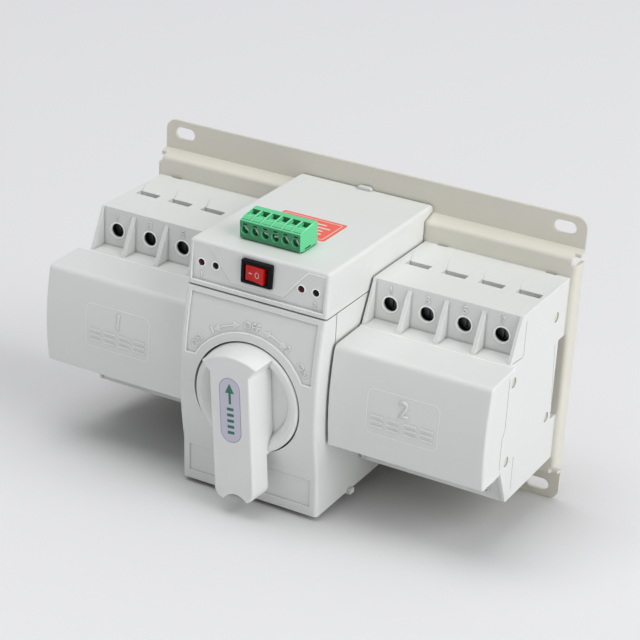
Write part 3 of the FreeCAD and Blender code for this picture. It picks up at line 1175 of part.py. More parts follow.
def make_limit_switches():
    switches = []
    for side, sign in SIGNS.items():
        low = "limit_inner" if sign == "1" else "-limit_inner - limit_length"
        case = box(f"limit_case_{side}", (low, "-frame_front_face - limit_depth", "limit_rise"),
                   (f"{low} + limit_length", "-frame_front_face", "limit_rise + limit_height"))
        button = box(f"limit_button_{side}", (
            f"{low} + (limit_length - button_width) / 2",
            "-frame_front_face - limit_depth + button_set", "limit_rise - limit_button"), (
            f"{low} + (limit_length + button_width) / 2",
            "-frame_front_face - limit_depth + button_set + button_width", "limit_rise + sunk"))
        switches.append(fuse(f"limit_switch_{side}", case, button))
    node("limit_switches", group("limit_switches", *switches))


# ---- circuit board and lamps --------------------------------------------------------------------

def make_board():
    sheet_top, sheet_low = "board_top", "board_top - board_thick"
    board = box("board_sheet", ("-board_half", "-board_front", sheet_low),
                ("board_half", "-board_back", sheet_top))
    holes = [rod(f"board_hole_{i}", "z", (x, y, f"{sheet_low} - past"), "board_screw + 4 * fit",
                 "board_thick + 2 * past") for i, (x, y) in enumerate(post_places())]
    holes += [rod(f"board_pin_hole_{i}", "z", (x, "-(tongue_front + tongue_back) / 2",
                                               f"{sheet_low} - past"),
                  "pin_hole", "board_thick + 2 * past") for i, x in enumerate(way_places())]
    node("circuit_board", cut("circuit_board", board, *holes))
    screws = []
    for i, (x, y) in enumerate(post_places()):
        head = rod(f"board_head_{i}", "z", (x, y, f"{sheet_low} - board_head_depth"),
                   "board_screw_head", "board_head_depth")
        shank = rod(f"board_shank_{i}", "z", (x, y, f"{sheet_low} - sunk"), "board_screw",
                    "board_thick + board_screw_depth")
        screws.append(fuse(f"board_screw_{i}", head, shank))
    node("board_screws", group("board_screws", *screws))
    relays = [box(f"relay_{side}", (
        "relay_inner" if sign == "1" else "-relay_inner - relay_length", "-relay_front",
        f"{sheet_low} - relay_height"), (
        "relay_inner + relay_length" if sign == "1" else "-relay_inner",
        "-relay_front + relay_width", sheet_low)) for side, sign in SIGNS.items()]
    node("relays", group("relays", *relays))
    node("capacitor", rod("capacitor", "z", ("0", "-capacitor_back",
                                             f"{sheet_low} - capacitor_length"),
                          "capacitor", "capacitor_length"))


def make_lamps():
    """Four signal lamps behind the fascia, each on two leads from the board's edge."""
    lamps = {}
    for place_name, x in zip(("a", "b", "c", "d"), lamp_places()):
        name = f"lamp_{place_name}"
        barrel = rod(name + "_barrel", "y", (x, "-hood_front + lamp / 2", "lamp_rise"), "lamp",
                     "hood_front - lamp / 2 - lamp_back")
        dome = doc.addObject("Part::Sphere", name + "_dome")
        bind(dome, "Radius", "lamp / 2")
        place(dome, x, "-hood_front + lamp / 2", "lamp_rise")
        flange = rod(name + "_flange", "y", (x, "-lamp_back - lamp_flange_depth", "lamp_rise"),
                     "lamp_flange", "lamp_flange_depth")
        leads = [box(f"{name}_lead_{s}", (
            f"{x} + ({s}) * lead_half_gap - lead / 2", "-lamp_back - sunk",
            "board_top - lead_rise"), (
            f"{x} + ({s}) * lead_half_gap + lead / 2", "-board_front",
            "board_top - lead_rise + lead"))
            for s in ("-1", "1")]
        lamps[place_name] = fuse(name, barrel, dome, flange, *leads)
    node("supply_lamps", group("supply_lamps", lamps["a"], lamps["c"]))
    node("closed_lamps", group("closed_lamps", lamps["b"], lamps["d"]))


# ---- rocker switch ------------------------------------------------------------------------------

def make_rocker_switch():
    """The automatic/manual switch: a bezel and body, and a rocker tipped to one side."""
    half_high = "rocker_height / 2 + rocker_side_gap"
    face = "-hood_front + fascia_depth"
    body = box("switch_case", ("-switch_half_width", "-hood_front - bezel_thick / 4",
                               "switch_rise - switch_half_height"),
               ("switch_half_width", "-switch_back", "switch_rise + switch_half_height"))
    bezel = box("switch_bezel", ("-bezel_half_width", f"{face} - bezel_thick",
                                 "switch_rise - bezel_half_height"),
                ("bezel_half_width", face, "switch_rise + bezel_half_height"))
    bezel_soft = rounded("switch_bezel_soft", bezel, "bezel_thick / 3", lambda e: (
        middle(e).y < size(face) - size("bezel_thick") / 4))
    well = box("switch_well", ("-rocker_well_half", "-hood_front - overshoot",
                               f"switch_rise - ({half_high})"),
               ("rocker_well_half", "-rocker_pivot + rocker_well_depth",
                f"switch_rise + {half_high}"))
    pivot = rod("switch_pivot_bore", "z", (
        "0", "-rocker_pivot", f"switch_rise - ({half_high}) - rocker_pin_reach"),
        "rocker_pin + 2 * fit", f"2 * ({half_high} + rocker_pin_reach)")
    node("rocker_switch_body", cut("rocker_switch_body",
                                   fuse("switch_blank", body, bezel_soft), well, pivot))
    rocker = prism("rocker_block", "XY", [
        ("-rocker_half", "-rocker_front", "-rocker_dish"), ("rocker_half", "-rocker_front"),
        ("rocker_half - rocker_taper", "rocker_back / 2"), ("rocker_half / 2", "rocker_back"),
        ("-rocker_half / 2", "rocker_back"), ("-rocker_half + rocker_taper", "rocker_back / 2"),
    ], "-rocker_height / 2", "rocker_height / 2")
    soft = rounded("rocker_soft", rocker, "rocker_round", lambda e: middle(e).y < -size("rocker_front") / 2)
    pins = rod("rocker_pins", "z", ("0", "0", "-rocker_height / 2 - rocker_pin_reach"),
               "rocker_pin", "rocker_height + 2 * rocker_pin_reach")
    tipped = node("rocker", fuse("rocker", soft, pins))
    tipped.Placement = FreeCAD.Placement(
        FreeCAD.Vector(), FreeCAD.Rotation(FreeCAD.Vector(0, 0, 1), -1))
    bind(tipped, "Placement.Rotation.Angle", "-rocker_tilt")
    place(tipped, y="-rocker_pivot", z="switch_rise")


# ---- plug-in terminal block ---------------------------------------------------------------------

def way_places():
    """The x of each way of the plug."""
    return [f"-plug_shift + plug_pitch * ({i} - (plug_ways - 1) / 2)"
            for i in range(int(size("plug_ways")))]


def make_plug():
    """The green plug: sloped top with wire ports, screws in front, a tongue below."""
    half = "plug_pitch * plug_ways / 2"
    seat = "unit_top + plug_seat"
    block = prism("plug_block", "YZ", [
        ("-plug_front", seat), ("-plug_back", seat), ("-plug_back - plug_back_lean", "plug_brow"),
        ("-plug_ridge_back", "plug_ridge"), ("-plug_brow_back", "plug_brow"),
        ("-plug_front - plug_lean", "plug_face_top"),
    ], f"-plug_shift - {half}", f"-plug_shift + {half}")
    soft = rounded("plug_soft", block, "plug_round", lambda e: (
        middle(e).z > size(seat) + 2 * NUDGE))
    tongue = box("plug_tongue", ("-plug_shift - tongue_half", "-tongue_front",
                                 "unit_top - tongue_depth"),
                 ("-plug_shift + tongue_half", "-tongue_back", "unit_top + past"))
    removed = [box(f"plug_foot_{side}", (low, "-foot_notch_front", "unit_top"),
                   (f"{low} + 2 * foot_notch_width", "-foot_notch_back",
                    "unit_top + foot_notch_height"))
               for side, low in (("left", f"-plug_shift - {half} - foot_notch_width"),
                                 ("right", f"-plug_shift + {half} - foot_notch_width"))]
    screws, clamps, pins = [], [], []
    screw_front = "-plug_front + plug_screw_sink"
    way_end = ("plug_brow - way_depth + (plug_brow_back - wire_port_back)"
               " * (plug_ridge - plug_brow) / (plug_brow_back - plug_ridge_back)")
    for i, x in enumerate(way_places()):
        removed.append(box(f"plug_port_{i}", (
            f"{x} - wire_port / 2", "-wire_port_back - wire_port",
            "plug_ridge - wire_port_depth"), (
            f"{x} + wire_port / 2", "-wire_port_back", "plug_ridge + past")))
        removed.append(prism(f"plug_way_{i}", "YZ", [
            ("-plug_brow_back", "plug_brow - way_depth"), ("-wire_port_back", way_end),
            ("-wire_port_back", "plug_ridge + past"), ("-plug_brow_back", "plug_ridge + past"),
        ], f"{x} - way_half", f"{x} + way_half"))
        removed.append(rod(f"plug_screw_hole_{i}", "y", (
            x, "-plug_front - 2 * past", "plug_screw_rise"), "plug_screw",
            "plug_screw_sink + plug_screw_head + 2 * past"))
        removed.append(box(f"plug_test_slot_{i}", (
            f"{x} - test_slot_length / 2", "-plug_front - 2 * past",
            "test_slot_rise - test_slot_height / 2"), (
            f"{x} + test_slot_length / 2", "-plug_front + test_slot_depth",
            "test_slot_rise + test_slot_height / 2")))
        removed.append(rod(f"plug_socket_{i}", "z", (x, "-(tongue_front + tongue_back) / 2",
                                                     "unit_top - tongue_depth - past"),
                           "pin_bore", "tongue_depth + past"))
        head = rod(f"plug_screw_head_{i}", "y", (x, screw_front, "plug_screw_rise"),
                   "plug_screw - plug_screw_gap", "plug_screw_head")
        nick = box(f"plug_screw_nick_{i}", (
            f"{x} - plug_nick_half", f"{screw_front} - past", "plug_screw_rise - plug_screw"), (
            f"{x} + plug_nick_half", f"{screw_front} + plug_nick_depth",
            "plug_screw_rise + plug_screw"))
        screws.append(cut(f"plug_screw_{i}", head, nick))
        floor = "plug_ridge - wire_port_depth"
        clamps.append(box(f"plug_clamp_{i}", (
            f"{x} - wire_port / 2 + 2 * fit", "-wire_port_back - wire_port + 2 * fit", floor), (
            f"{x} + wire_port / 2 - 2 * fit", "-wire_port_back - 2 * fit",
            f"{floor} + plug_clamp")))
        pins.append(box(f"header_pin_{i}", (
            f"{x} - header_pin / 2", "-(tongue_front + tongue_back) / 2 - header_pin / 2",
            "board_top - board_thick - header_pin"), (
            f"{x} + header_pin / 2", "-(tongue_front + tongue_back) / 2 + header_pin / 2",
            "unit_top - header_pin")))
    node("plug_body", cut("plug_body", fuse("plug_blank", soft, tongue), *removed))
    node("plug_screws", group("plug_screws", *screws))
    node("plug_clamps", group("plug_clamps", *clamps))
    node("header_pins", group("header_pins", *pins))
    shroud = box("header_shroud", ("-plug_shift - header_half", "-header_front", "board_top"),
                 ("-plug_shift + header_half", "-header_back", "unit_top + header_rise"))
    well = box("header_well", ("-plug_shift - tongue_half - tongue_gap",
                               "-tongue_front - tongue_gap", "board_top + header_floor"),
               ("-plug_shift + tongue_half + tongue_gap", "-tongue_back + tongue_gap",
                "unit_top + past"))
    pin_holes = [box(f"header_pin_hole_{i}", (
        f"{x} - header_pin / 2", "-(tongue_front + tongue_back) / 2 - header_pin / 2",
        "board_top - past"), (
        f"{x} + header_pin / 2", "-(tongue_front + tongue_back) / 2 + header_pin / 2",
        "unit_top")) for i, x in enumerate(way_places())]
    node("terminal_header", cut("terminal_header", shroud, well, *pin_holes))


# ---- build, check and write ---------------------------------------------------------------------

def build():
    make_base_plate()
    make_fixing_screws()
    for side in BANKS:
        make_breaker(side)
        make_rivets(side)
        make_terminals(side)
        make_toggles(side)
        make_nose_cover(side)
    make_hood()
    make_rear_housing()
    make_front_cover()
    make_knob()
    make_shaft()
    make_frame()
    make_gears()
    make_cam()
    make_motor()
    make_limit_switches()
    make_board()
    make_lamps()
    make_rocker_switch()
    make_plug()


def check():
    """Stop if any object failed, or a sub-part has no valid shape."""
    doc.recompute()
    failed = [o.Name for o in doc.Objects if {"Invalid", "Error"} & set(o.State)]
    if failed:
        raise RuntimeError("failed objects: " + ", ".join(failed))
    for name, obj in parts.items():
        if obj.Shape.isNull() or not obj.Shape.isValid() or not obj.Shape.Solids:
            raise RuntimeError(f"{name} has no valid solid")


def write():
    os.makedirs(OUT_DIR, exist_ok=True)
    for name, obj in parts.items():
        obj.Shape.exportStep(os.path.join(OUT_DIR, name + ".step"))
        print(f"{name}: {len(obj.Shape.Solids)} solid(s), {obj.Shape.Volume:.0f} mm3")


build()
check()
write()
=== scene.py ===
import math

import bmesh
import bpy
from mathutils import Matrix, Vector
from mathutils.bvhtree import BVHTree


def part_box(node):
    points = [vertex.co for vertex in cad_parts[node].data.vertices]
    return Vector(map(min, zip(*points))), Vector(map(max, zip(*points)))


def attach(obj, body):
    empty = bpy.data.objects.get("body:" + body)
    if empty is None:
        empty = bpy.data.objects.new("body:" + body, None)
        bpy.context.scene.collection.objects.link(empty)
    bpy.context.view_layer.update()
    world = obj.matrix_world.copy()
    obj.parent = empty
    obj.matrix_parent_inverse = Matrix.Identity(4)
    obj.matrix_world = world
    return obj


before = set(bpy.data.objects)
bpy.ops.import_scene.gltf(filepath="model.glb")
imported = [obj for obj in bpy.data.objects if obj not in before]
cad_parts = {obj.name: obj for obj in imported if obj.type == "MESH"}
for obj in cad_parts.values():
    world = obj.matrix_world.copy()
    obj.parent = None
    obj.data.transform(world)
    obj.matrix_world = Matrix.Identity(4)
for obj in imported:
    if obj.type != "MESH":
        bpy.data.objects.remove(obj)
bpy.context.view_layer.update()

MM = 0.001
RIGHT, UP, INTO = Vector((1, 0, 0)), Vector((0, 0, 1)), Vector((0, 1, 0))
DOWN = Vector((0, 0, -1))


# ---- places read from the frame, and sizes as the part has them ---------------------------------

def reach(node):
    """The lowest and highest corners of a node, as vectors."""
    low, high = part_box(node)
    return Vector(low), Vector(high)


HOOD_LOW, HOOD_HIGH = reach("hood")
COVER_LOW = reach("front_cover")[0]
PLATE_LOW = reach("base_plate")[0]
KNOB_CENTRE = sum(reach("main_shaft"), Vector()) / 2
KNOB_TURN = math.radians(-4.8)
POLES = 4

# the breakers' upright face that the clamp screws go into, and the screws and the dark sheets
# painted as shade inside their holes
TERMINAL_FACE = -60.5 * MM
SCREW_RADIUS, SHADE_SHEET_RADIUS = 3.3 * MM, 3.36 * MM

# the dial panel: its way in from the sides and top, its foot, and the ring round the knob
DIAL_SIDE, DIAL_DROP, DIAL_FOOT, DIAL_RING = 3.3 * MM, 2.9 * MM, 8.5 * MM, 31 * MM

# the hood's front: height, border, the strip along its foot, and how far from the middle the
# sloped edges of its side panels stand at the foot and at the top
HOOD_RISE, FASCIA_BORDER, FASCIA_STRIP = 20.7 * MM, 2.2 * MM, 2.8 * MM
SLOPE_FOOT, SLOPE_TOP = 12.8 * MM, 24.8 * MM

# the plug's ways, and how each of its screws happens to be turned, in degrees clockwise
WAYS = 6
SLOT_TURNS = (-48, -35, -75, 80, -40, -30)

# dark lines painted as the shade in grooves and seams on a breaker's and its cover's outer side:
# points (y, z) and the width, in millimetres
CASE_LINES = [
    ([(-55.9, 41.0), (-55.9, 25.5), (-57.3, 24.6), (-67.5, 25.6)], 0.35),
    ([(-55.9, -24.4), (-55.9, -40.5)], 0.4),
    ([(-19.5, 16.0), (-16.3, -15.5)], 0.25),
]
COVER_SEAM = [
    ([(-77.4, 23.5), (-77.4, -0.7), (-79.6, -4.5), (-79.9, -9.3), (-79.6, -19.5)], 0.35),
]

# how high marks stand off the face they lie on: moulded ones, a faint outline, thin films, and
# what lies a little under and over a label's film
RAISED, FAINT_RELIEF, FILM = 0.4 * MM, 0.1 * MM, 0.03 * MM
UNDER_FILM, OVER_FILM = 0.6 * FILM, 1.4 * FILM


# ---- node groups shared by the materials --------------------------------------------------------

def new_group(name, inputs, outputs):
    """A shader group with named sockets; returns it with its input and output nodes."""
    group = bpy.data.node_groups.new(name, "ShaderNodeTree")
    for label, kind, value in inputs:
        socket = group.interface.new_socket(label, in_out="INPUT", socket_type=kind)
        socket.default_value = value
    for label, kind in outputs:
        group.interface.new_socket(label, in_out="OUTPUT", socket_type=kind)
    return group, group.nodes.new("NodeGroupInput"), group.nodes.new("NodeGroupOutput")


def add(tree, kind, **settings):
    """A node with its settings; keys that name a socket set its value."""
    node = tree.nodes.new(kind)
    for key, value in settings.items():
        if hasattr(node, key):
            setattr(node, key, value)
        else:
            node.inputs[key.replace("_", " ")].default_value = value
    return node


def math_node(tree, operation, first, second):
    """A sum, product or the like of two values, each a number or a socket."""
    node = add(tree, "ShaderNodeMath", operation=operation)
    for socket, value in zip(node.inputs, (first, second)):
        if isinstance(value, (int, float)):
            socket.default_value = value
        else:
            tree.links.new(value, socket)
    return node.outputs[0]


def mix_colours(tree, factor, first, second):
    """A colour between two, each a fixed colour or a socket."""
    node = add(tree, "ShaderNodeMix", data_type="RGBA")
    tree.links.new(factor, node.inputs[0])
    for socket, value in ((node.inputs[6], first), (node.inputs[7], second)):
        if isinstance(value, tuple):
            socket.default_value = value
        else:
            tree.links.new(value, socket)
    return node.outputs[2]


def object_noise(tree, scale, detail, roughness):
    """Noise in object space; scale, a number or a socket, is in features per metre."""
    where = tree.nodes.new("ShaderNodeTexCoord")
    noise = add(tree, "ShaderNodeTexNoise", Detail=detail, Roughness=roughness)
    if isinstance(scale, float):
        noise.inputs["Scale"].default_value = scale
    else:
        tree.links.new(scale, noise.inputs["Scale"])
    tree.links.new(where.outputs["Object"], noise.inputs["Vector"])
    return noise.outputs["Fac"]


def about_zero(tree, noise, amount):
    """Noise brought from round one half to round zero, times an amount."""
    return math_node(tree, "MULTIPLY", math_node(tree, "SUBTRACT", noise, 0.5), amount)


def tinted(group, inside, level):
    """The group's own colour made paler or darker by a level."""
    scaled = add(group, "ShaderNodeVectorMath", operation="SCALE")
    group.links.new(inside.outputs["Colour"], scaled.inputs[0])
    group.links.new(level, scaled.inputs["Scale"])
    return scaled.outputs[0]


def send(group, outside, **results):
    """Put results out of a group under their own names."""
    for label, result in results.items():
        group.links.new(result, outside.inputs[label])


SURFACE_OUTPUTS = [("Colour", "NodeSocketColor"), ("Roughness", "NodeSocketFloat"),
                   ("Height", "NodeSocketFloat")]


def spark_grain_group():
    """Fine grain of a spark-eroded mould: a height, and a little drift of colour and gloss."""
    group, inside, outside = new_group("spark_grain", [
        ("Colour", "NodeSocketColor", (0.8, 0.8, 0.8, 1)),
        ("Grain Scale", "NodeSocketFloat", 5200.0),
        ("Roughness", "NodeSocketFloat", 0.5),
        ("Drift", "NodeSocketFloat", 0.03),
    ], SURFACE_OUTPUTS)
    fine = object_noise(group, inside.outputs["Grain Scale"], detail=3.0, roughness=0.6)
    flow = object_noise(group, 28.0, detail=3.0, roughness=0.5)
    level = math_node(group, "ADD", about_zero(group, flow, inside.outputs["Drift"]), 1.0)
    speckle = math_node(group, "ADD", level, about_zero(group, fine, 0.03))
    gloss = math_node(group, "ADD", inside.outputs["Roughness"], about_zero(group, flow, 0.12))
    send(group, outside, Colour=tinted(group, inside, speckle), Roughness=gloss, Height=fine)
    return group


def orange_peel_group():
    """Sprayed and baked powder: soft lumps in the film, and cloudy dust on it."""
    group, inside, outside = new_group("orange_peel", [
        ("Colour", "NodeSocketColor", (0.8, 0.8, 0.7, 1)),
        ("Lump Scale", "NodeSocketFloat", 900.0),
        ("Roughness", "NodeSocketFloat", 0.45),
        ("Dust", "NodeSocketFloat", 0.04),
    ], SURFACE_OUTPUTS)
    lumps = object_noise(group, inside.outputs["Lump Scale"], detail=1.5, roughness=0.4)
    cloud = object_noise(group, 16.0, detail=4.0, roughness=0.55)
    dulled = math_node(group, "SUBTRACT", 1.0, math_node(
        group, "MULTIPLY", cloud, inside.outputs["Dust"]))
    gloss = math_node(group, "ADD", inside.outputs["Roughness"],
                      math_node(group, "MULTIPLY", cloud, 0.12))
    send(group, outside, Colour=tinted(group, inside, dulled), Roughness=gloss, Height=lumps)
    return group


def plated_group():
    """Plated or turned metal: fine streaks in the gloss and a slight colour drift."""
    group, inside, outside = new_group("plated_metal", [
        ("Colour", "NodeSocketColor", (0.7, 0.7, 0.7, 1)),
        ("Streak Scale", "NodeSocketFloat", 2400.0),
        ("Roughness", "NodeSocketFloat", 0.35),
    ], SURFACE_OUTPUTS)
    streaks = object_noise(group, inside.outputs["Streak Scale"], detail=4.0, roughness=0.6)
    bloom = object_noise(group, 120.0, detail=2.0, roughness=0.5)
    level = math_node(group, "ADD", math_node(group, "MULTIPLY", bloom, 0.16), 0.92)
    gloss = math_node(group, "ADD", inside.outputs["Roughness"],
                      math_node(group, "MULTIPLY", streaks, 0.18))
    send(group, outside, Colour=tinted(group, inside, level), Roughness=gloss, Height=streaks)
    return group


def corners_group():
    """Painted shade and highlight: the colour darker in inner corners and lighter along outer
    edges.

    Front Shade paints shade on the faces that look to the front.
    """
    group, inside, outside = new_group("painted_corner_shade_and_edge_highlight", [
        ("Colour", "NodeSocketColor", (0.8, 0.8, 0.8, 1)),
        ("Crease", "NodeSocketFloat", 0.4),
        ("Rim", "NodeSocketFloat", 0.1),
        ("Front Shade", "NodeSocketFloat", 0.0),
        ("Crease Width", "NodeSocketFloat", 1.4 * MM),
        ("Rim Width", "NodeSocketFloat", 0.5 * MM),
    ], [("Colour", "NodeSocketColor")])
    inner = add(group, "ShaderNodeAmbientOcclusion", samples=6)
    outer = add(group, "ShaderNodeAmbientOcclusion", samples=6, inside=True, only_local=True)
    group.links.new(inside.outputs["Crease Width"], inner.inputs["Distance"])
    group.links.new(inside.outputs["Rim Width"], outer.inputs["Distance"])
    # painted shade in inner corners
    darker = math_node(group, "MULTIPLY", inside.outputs["Crease"], math_node(
        group, "SUBTRACT", 1.0, inner.outputs["AO"]))
    # painted highlight along outer edges
    lighter = math_node(group, "MULTIPLY", inside.outputs["Rim"], math_node(
        group, "SUBTRACT", 1.0, outer.outputs["AO"]))
    level = math_node(group, "ADD", math_node(group, "SUBTRACT", 1.0, darker), lighter)
    # painted shade on faces that look to the front
    facing = group.nodes.new("ShaderNodeNewGeometry")
    split = group.nodes.new("ShaderNodeSeparateXYZ")
    group.links.new(facing.outputs["Normal"], split.inputs[0])
    frontal = math_node(group, "MAXIMUM", math_node(
        group, "MULTIPLY", split.outputs["Y"], -1.0), 0.0)
    shaded = math_node(group, "MULTIPLY", math_node(group, "POWER", frontal, 4.0),
                       inside.outputs["Front Shade"])
    kept = math_node(group, "SUBTRACT", 1.0, shaded)
    send(group, outside, Colour=tinted(group, inside, math_node(group, "MULTIPLY", level, kept)))
    return group


PAINTED_SHADE_AND_HIGHLIGHT = corners_group()
SPARK_GRAIN = spark_grain_group()
ORANGE_PEEL = orange_peel_group()
PLATED = plated_group()


# ---- materials ----------------------------------------------------------------------------------

def colour(red, green, blue):
    return (red, green, blue, 1.0)


def surfaced(name, group, values, bump, edge=0.0, metallic=0.0, specular=0.5, coat=0.0,
             crease=0.0, rim=0.0, front_shade=0.0):
    """A material whose colour, gloss and bump come from a shared group.

    bump is the grain's depth in millimetres, and edge the radius at which sharp moulded edges
    look rounded; crease is how far painted shade darkens the colour in inner corners, rim how
    far a painted highlight lightens it along outer edges, and front_shade how far painted shade
    darkens it on faces that look to the front.
    """
    made = bpy.data.materials.new(name)
    made.use_nodes = True
    tree = made.node_tree
    shader = tree.nodes["Principled BSDF"]
    shader.inputs["Metallic"].default_value = metallic
    shader.inputs["Specular IOR Level"].default_value = specular
    shader.inputs["Coat Weight"].default_value = coat
    source = add(tree, "ShaderNodeGroup", node_tree=group)
    for key, value in values.items():
        source.inputs[key].default_value = value
    # painted shade in corners and on front faces, and a painted highlight along edges
    if crease or rim or front_shade:
        cornered = add(tree, "ShaderNodeGroup", node_tree=PAINTED_SHADE_AND_HIGHLIGHT)
        cornered.inputs["Crease"].default_value = crease
        cornered.inputs["Rim"].default_value = rim
        cornered.inputs["Front Shade"].default_value = front_shade
        tree.links.new(source.outputs["Colour"], cornered.inputs["Colour"])
        tree.links.new(cornered.outputs["Colour"], shader.inputs["Base Color"])
    else:
        tree.links.new(source.outputs["Colour"], shader.inputs["Base Color"])
    tree.links.new(source.outputs["Roughness"], shader.inputs["Roughness"])
    relief = add(tree, "ShaderNodeBump", Strength=1.0, Distance=bump * MM)
    tree.links.new(source.outputs["Height"], relief.inputs["Height"])
    if edge:
        soft = add(tree, "ShaderNodeBevel", samples=6, Radius=edge * MM)
        tree.links.new(soft.outputs["Normal"], relief.inputs["Normal"])
    tree.links.new(relief.outputs["Normal"], shader.inputs["Normal"])
    return made


def moulded(name, shade, gloss, bump, grain=2600.0, drift=0.04, **more):
    """Plastic or print: a colour, a roughness, and the fine grain of a mould."""
    return surfaced(name, SPARK_GRAIN, {"Colour": colour(*shade), "Roughness": gloss,
                                        "Grain Scale": grain, "Drift": drift}, bump, **more)


def plated(name, shade, gloss, bump=0.004, streaks=2600.0, metallic=1.0, **more):
    """Metal: a colour, a roughness, and fine streaks."""
    return surfaced(name, PLATED, {"Colour": colour(*shade), "Roughness": gloss,
                                   "Streak Scale": streaks}, bump, metallic=metallic, **more)


# the pale housings and what is moulded into them, most with shade painted into inner corners and a
# highlight painted along outer edges
HOUSING = moulded("housing_plastic", (0.80, 0.815, 0.797), 0.46, bump=0.02, grain=4200.0,
                  drift=0.035, edge=0.2, crease=0.55, rim=0.32)
MOULDED_MARK = moulded("moulded_mark", (0.81, 0.825, 0.807), 0.40, bump=0.01, grain=4200.0,
                       drift=0.035, edge=0.06, crease=0.3, rim=0.25)
MOULDED_FAINT = moulded("moulded_faint", (0.81, 0.825, 0.807), 0.42, bump=0.01, grain=4200.0,
                        drift=0.035, edge=0.04, crease=0.15, rim=0.14)
# paler than the housing: a painted highlight on lips and on edges that face the light
EDGE_HIGHLIGHT = moulded("painted_edge_highlight", (0.88, 0.89, 0.875), 0.40, bump=0.01, grain=4200.0,
                      drift=0.035, edge=0.06, rim=0.3)
# dark grey painted as the shade in grooves and seams
SEAM_SHADE = moulded("seam_shade", (0.33, 0.33, 0.31), 0.60, bump=0.005, grain=4200.0,
                     drift=0.06, specular=0.1)
KNOB_PLASTIC = moulded("knob_plastic", (0.82, 0.83, 0.82), 0.40, bump=0.012, grain=5200.0,
                       drift=0.03, edge=0.6, crease=0.4, rim=0.15)

# the plate, the plug, the rocker and the lamps
POWDER_COAT = surfaced("plate_powder_coat", ORANGE_PEEL, {
    "Colour": colour(0.785, 0.76, 0.672), "Roughness": 0.42, "Lump Scale": 1100.0,
    "Dust": 0.05}, bump=0.02, edge=0.4)
BLACK_PLASTIC = moulded("black_plastic", (0.006, 0.006, 0.007), 0.42, bump=0.010, grain=5200.0,
                        drift=0.10, edge=0.25, specular=0.10)
# shade painted into inner corners and onto front faces, and a highlight painted along outer edges
GREEN_PLASTIC = moulded("plug_green", (0.15, 0.69, 0.33), 0.42, bump=0.008, grain=6000.0,
                        drift=0.06, edge=0.12, crease=0.75, rim=0.9, front_shade=0.6,
                        specular=0.25)
# lighter and darker greens painted on the plug's top: highlights on its ridges, and shade beside
# them and at the front of each way
RIDGE_HIGHLIGHT = moulded("plug_ridge_painted_highlight", (0.30, 0.85, 0.50), 0.38, bump=0.004, grain=6000.0,
                     drift=0.06)
PLUG_SHADE = moulded("plug_painted_shade", (0.035, 0.27, 0.11), 0.5, bump=0.004, grain=6000.0,
                      drift=0.06, specular=0.2)
ROCKER_RED = moulded("rocker_red", (0.62, 0.010, 0.006), 0.26, bump=0.004, grain=5200.0,
                     drift=0.06, edge=0.3, specular=0.25, coat=0.05)
LAMP_RED = moulded("lamp_red", (0.060, 0.003, 0.004), 0.12, bump=0.002, grain=900.0, drift=0.2,
                   specular=0.1, coat=0.05)
LAMP_DARK = moulded("lamp_dark", (0.003, 0.005, 0.004), 0.12, bump=0.002, grain=900.0, drift=0.2,
                    specular=0.1, coat=0.05)

# inner pieces
NYLON = moulded("gear_nylon", (0.78, 0.75, 0.66), 0.45, bump=0.01, grain=3000.0, drift=0.08,
                edge=0.15)
BOARD_GREEN = moulded("circuit_board", (0.02, 0.16, 0.06), 0.30, bump=0.01, drift=0.25)
CAN = plated("capacitor_can", (0.66, 0.67, 0.69), 0.22, bump=0.003, streaks=1800.0)

# metal fasteners and terminals
STEEL = plated("zinc_plated_steel", (0.62, 0.62, 0.60), 0.28, edge=0.2)
# screw steels darkened by painted shade, as the screws sit deep in their holes
TERMINAL_SCREW_SHADE = plated("screw_steel_painted_shade", (0.10, 0.105, 0.11), 0.30, edge=0.2)
SHADED_STEEL = plated("plug_screw_steel_painted_shade", (0.14, 0.145, 0.15), 0.22, edge=0.1)
BRASS = plated("brass", (0.72, 0.52, 0.24), 0.26, edge=0.15)
RIVET_METAL = plated("yellow_zinc", (0.74, 0.71, 0.60), 0.45, edge=0.2, metallic=0.25)
# pale film painted as the highlight on a screw slot's edge
SLOT_HIGHLIGHT = plated("slot_edge_painted_highlight", (0.95, 0.95, 0.95), 0.35, bump=0.002, metallic=0.1)

# print and labels
MARK_WHITE = moulded("printed_white", (0.78, 0.76, 0.74), 0.42, bump=0.003, grain=5200.0)
LABEL_RED = moulded("label_red", (0.95, 0.155, 0.105), 0.45, bump=0.004, drift=0.05,
                    specular=0.2)
LABEL_LILAC = moulded("label_lilac", (0.60, 0.59, 0.70), 0.30, bump=0.003)
LABEL_EDGE = moulded("label_edge", (0.30, 0.27, 0.40), 0.30, bump=0.003)
PRINT_GREEN = moulded("printed_green", (0.02, 0.17, 0.11), 0.36, bump=0.003, drift=0.06)

NODES_WEARING = (
    (HOUSING, ("breaker_left", "breaker_right", "nose_cover_left", "nose_cover_right", "hood",
               "rear_housing", "front_cover")),
    (KNOB_PLASTIC, ("knob",)),
    (POWDER_COAT, ("base_plate",)),
    (BLACK_PLASTIC, ("rocker_switch_body", "limit_switches", "relays", "toggles_left",
                     "toggles_right")),
    (GREEN_PLASTIC, ("plug_body", "terminal_header")),
    (ROCKER_RED, ("rocker",)),
    (LAMP_RED, ("supply_lamps",)),
    (LAMP_DARK, ("closed_lamps",)),
    (NYLON, ("idler_gear", "drive_cam")),
    (BOARD_GREEN, ("circuit_board",)),
    (CAN, ("capacitor",)),
    (TERMINAL_SCREW_SHADE, ("terminal_screws_left", "terminal_screws_right")),
    (SHADED_STEEL, ("plug_screws",)),
    (BRASS, ("terminal_clamps_left", "terminal_clamps_right", "plug_clamps", "header_pins",
             "front_bush", "rear_bush")),
    (RIVET_METAL, ("breaker_rivets_left", "breaker_rivets_right")),
)
NODE_FINISH = {node: finish for finish, nodes in NODES_WEARING for node in nodes}

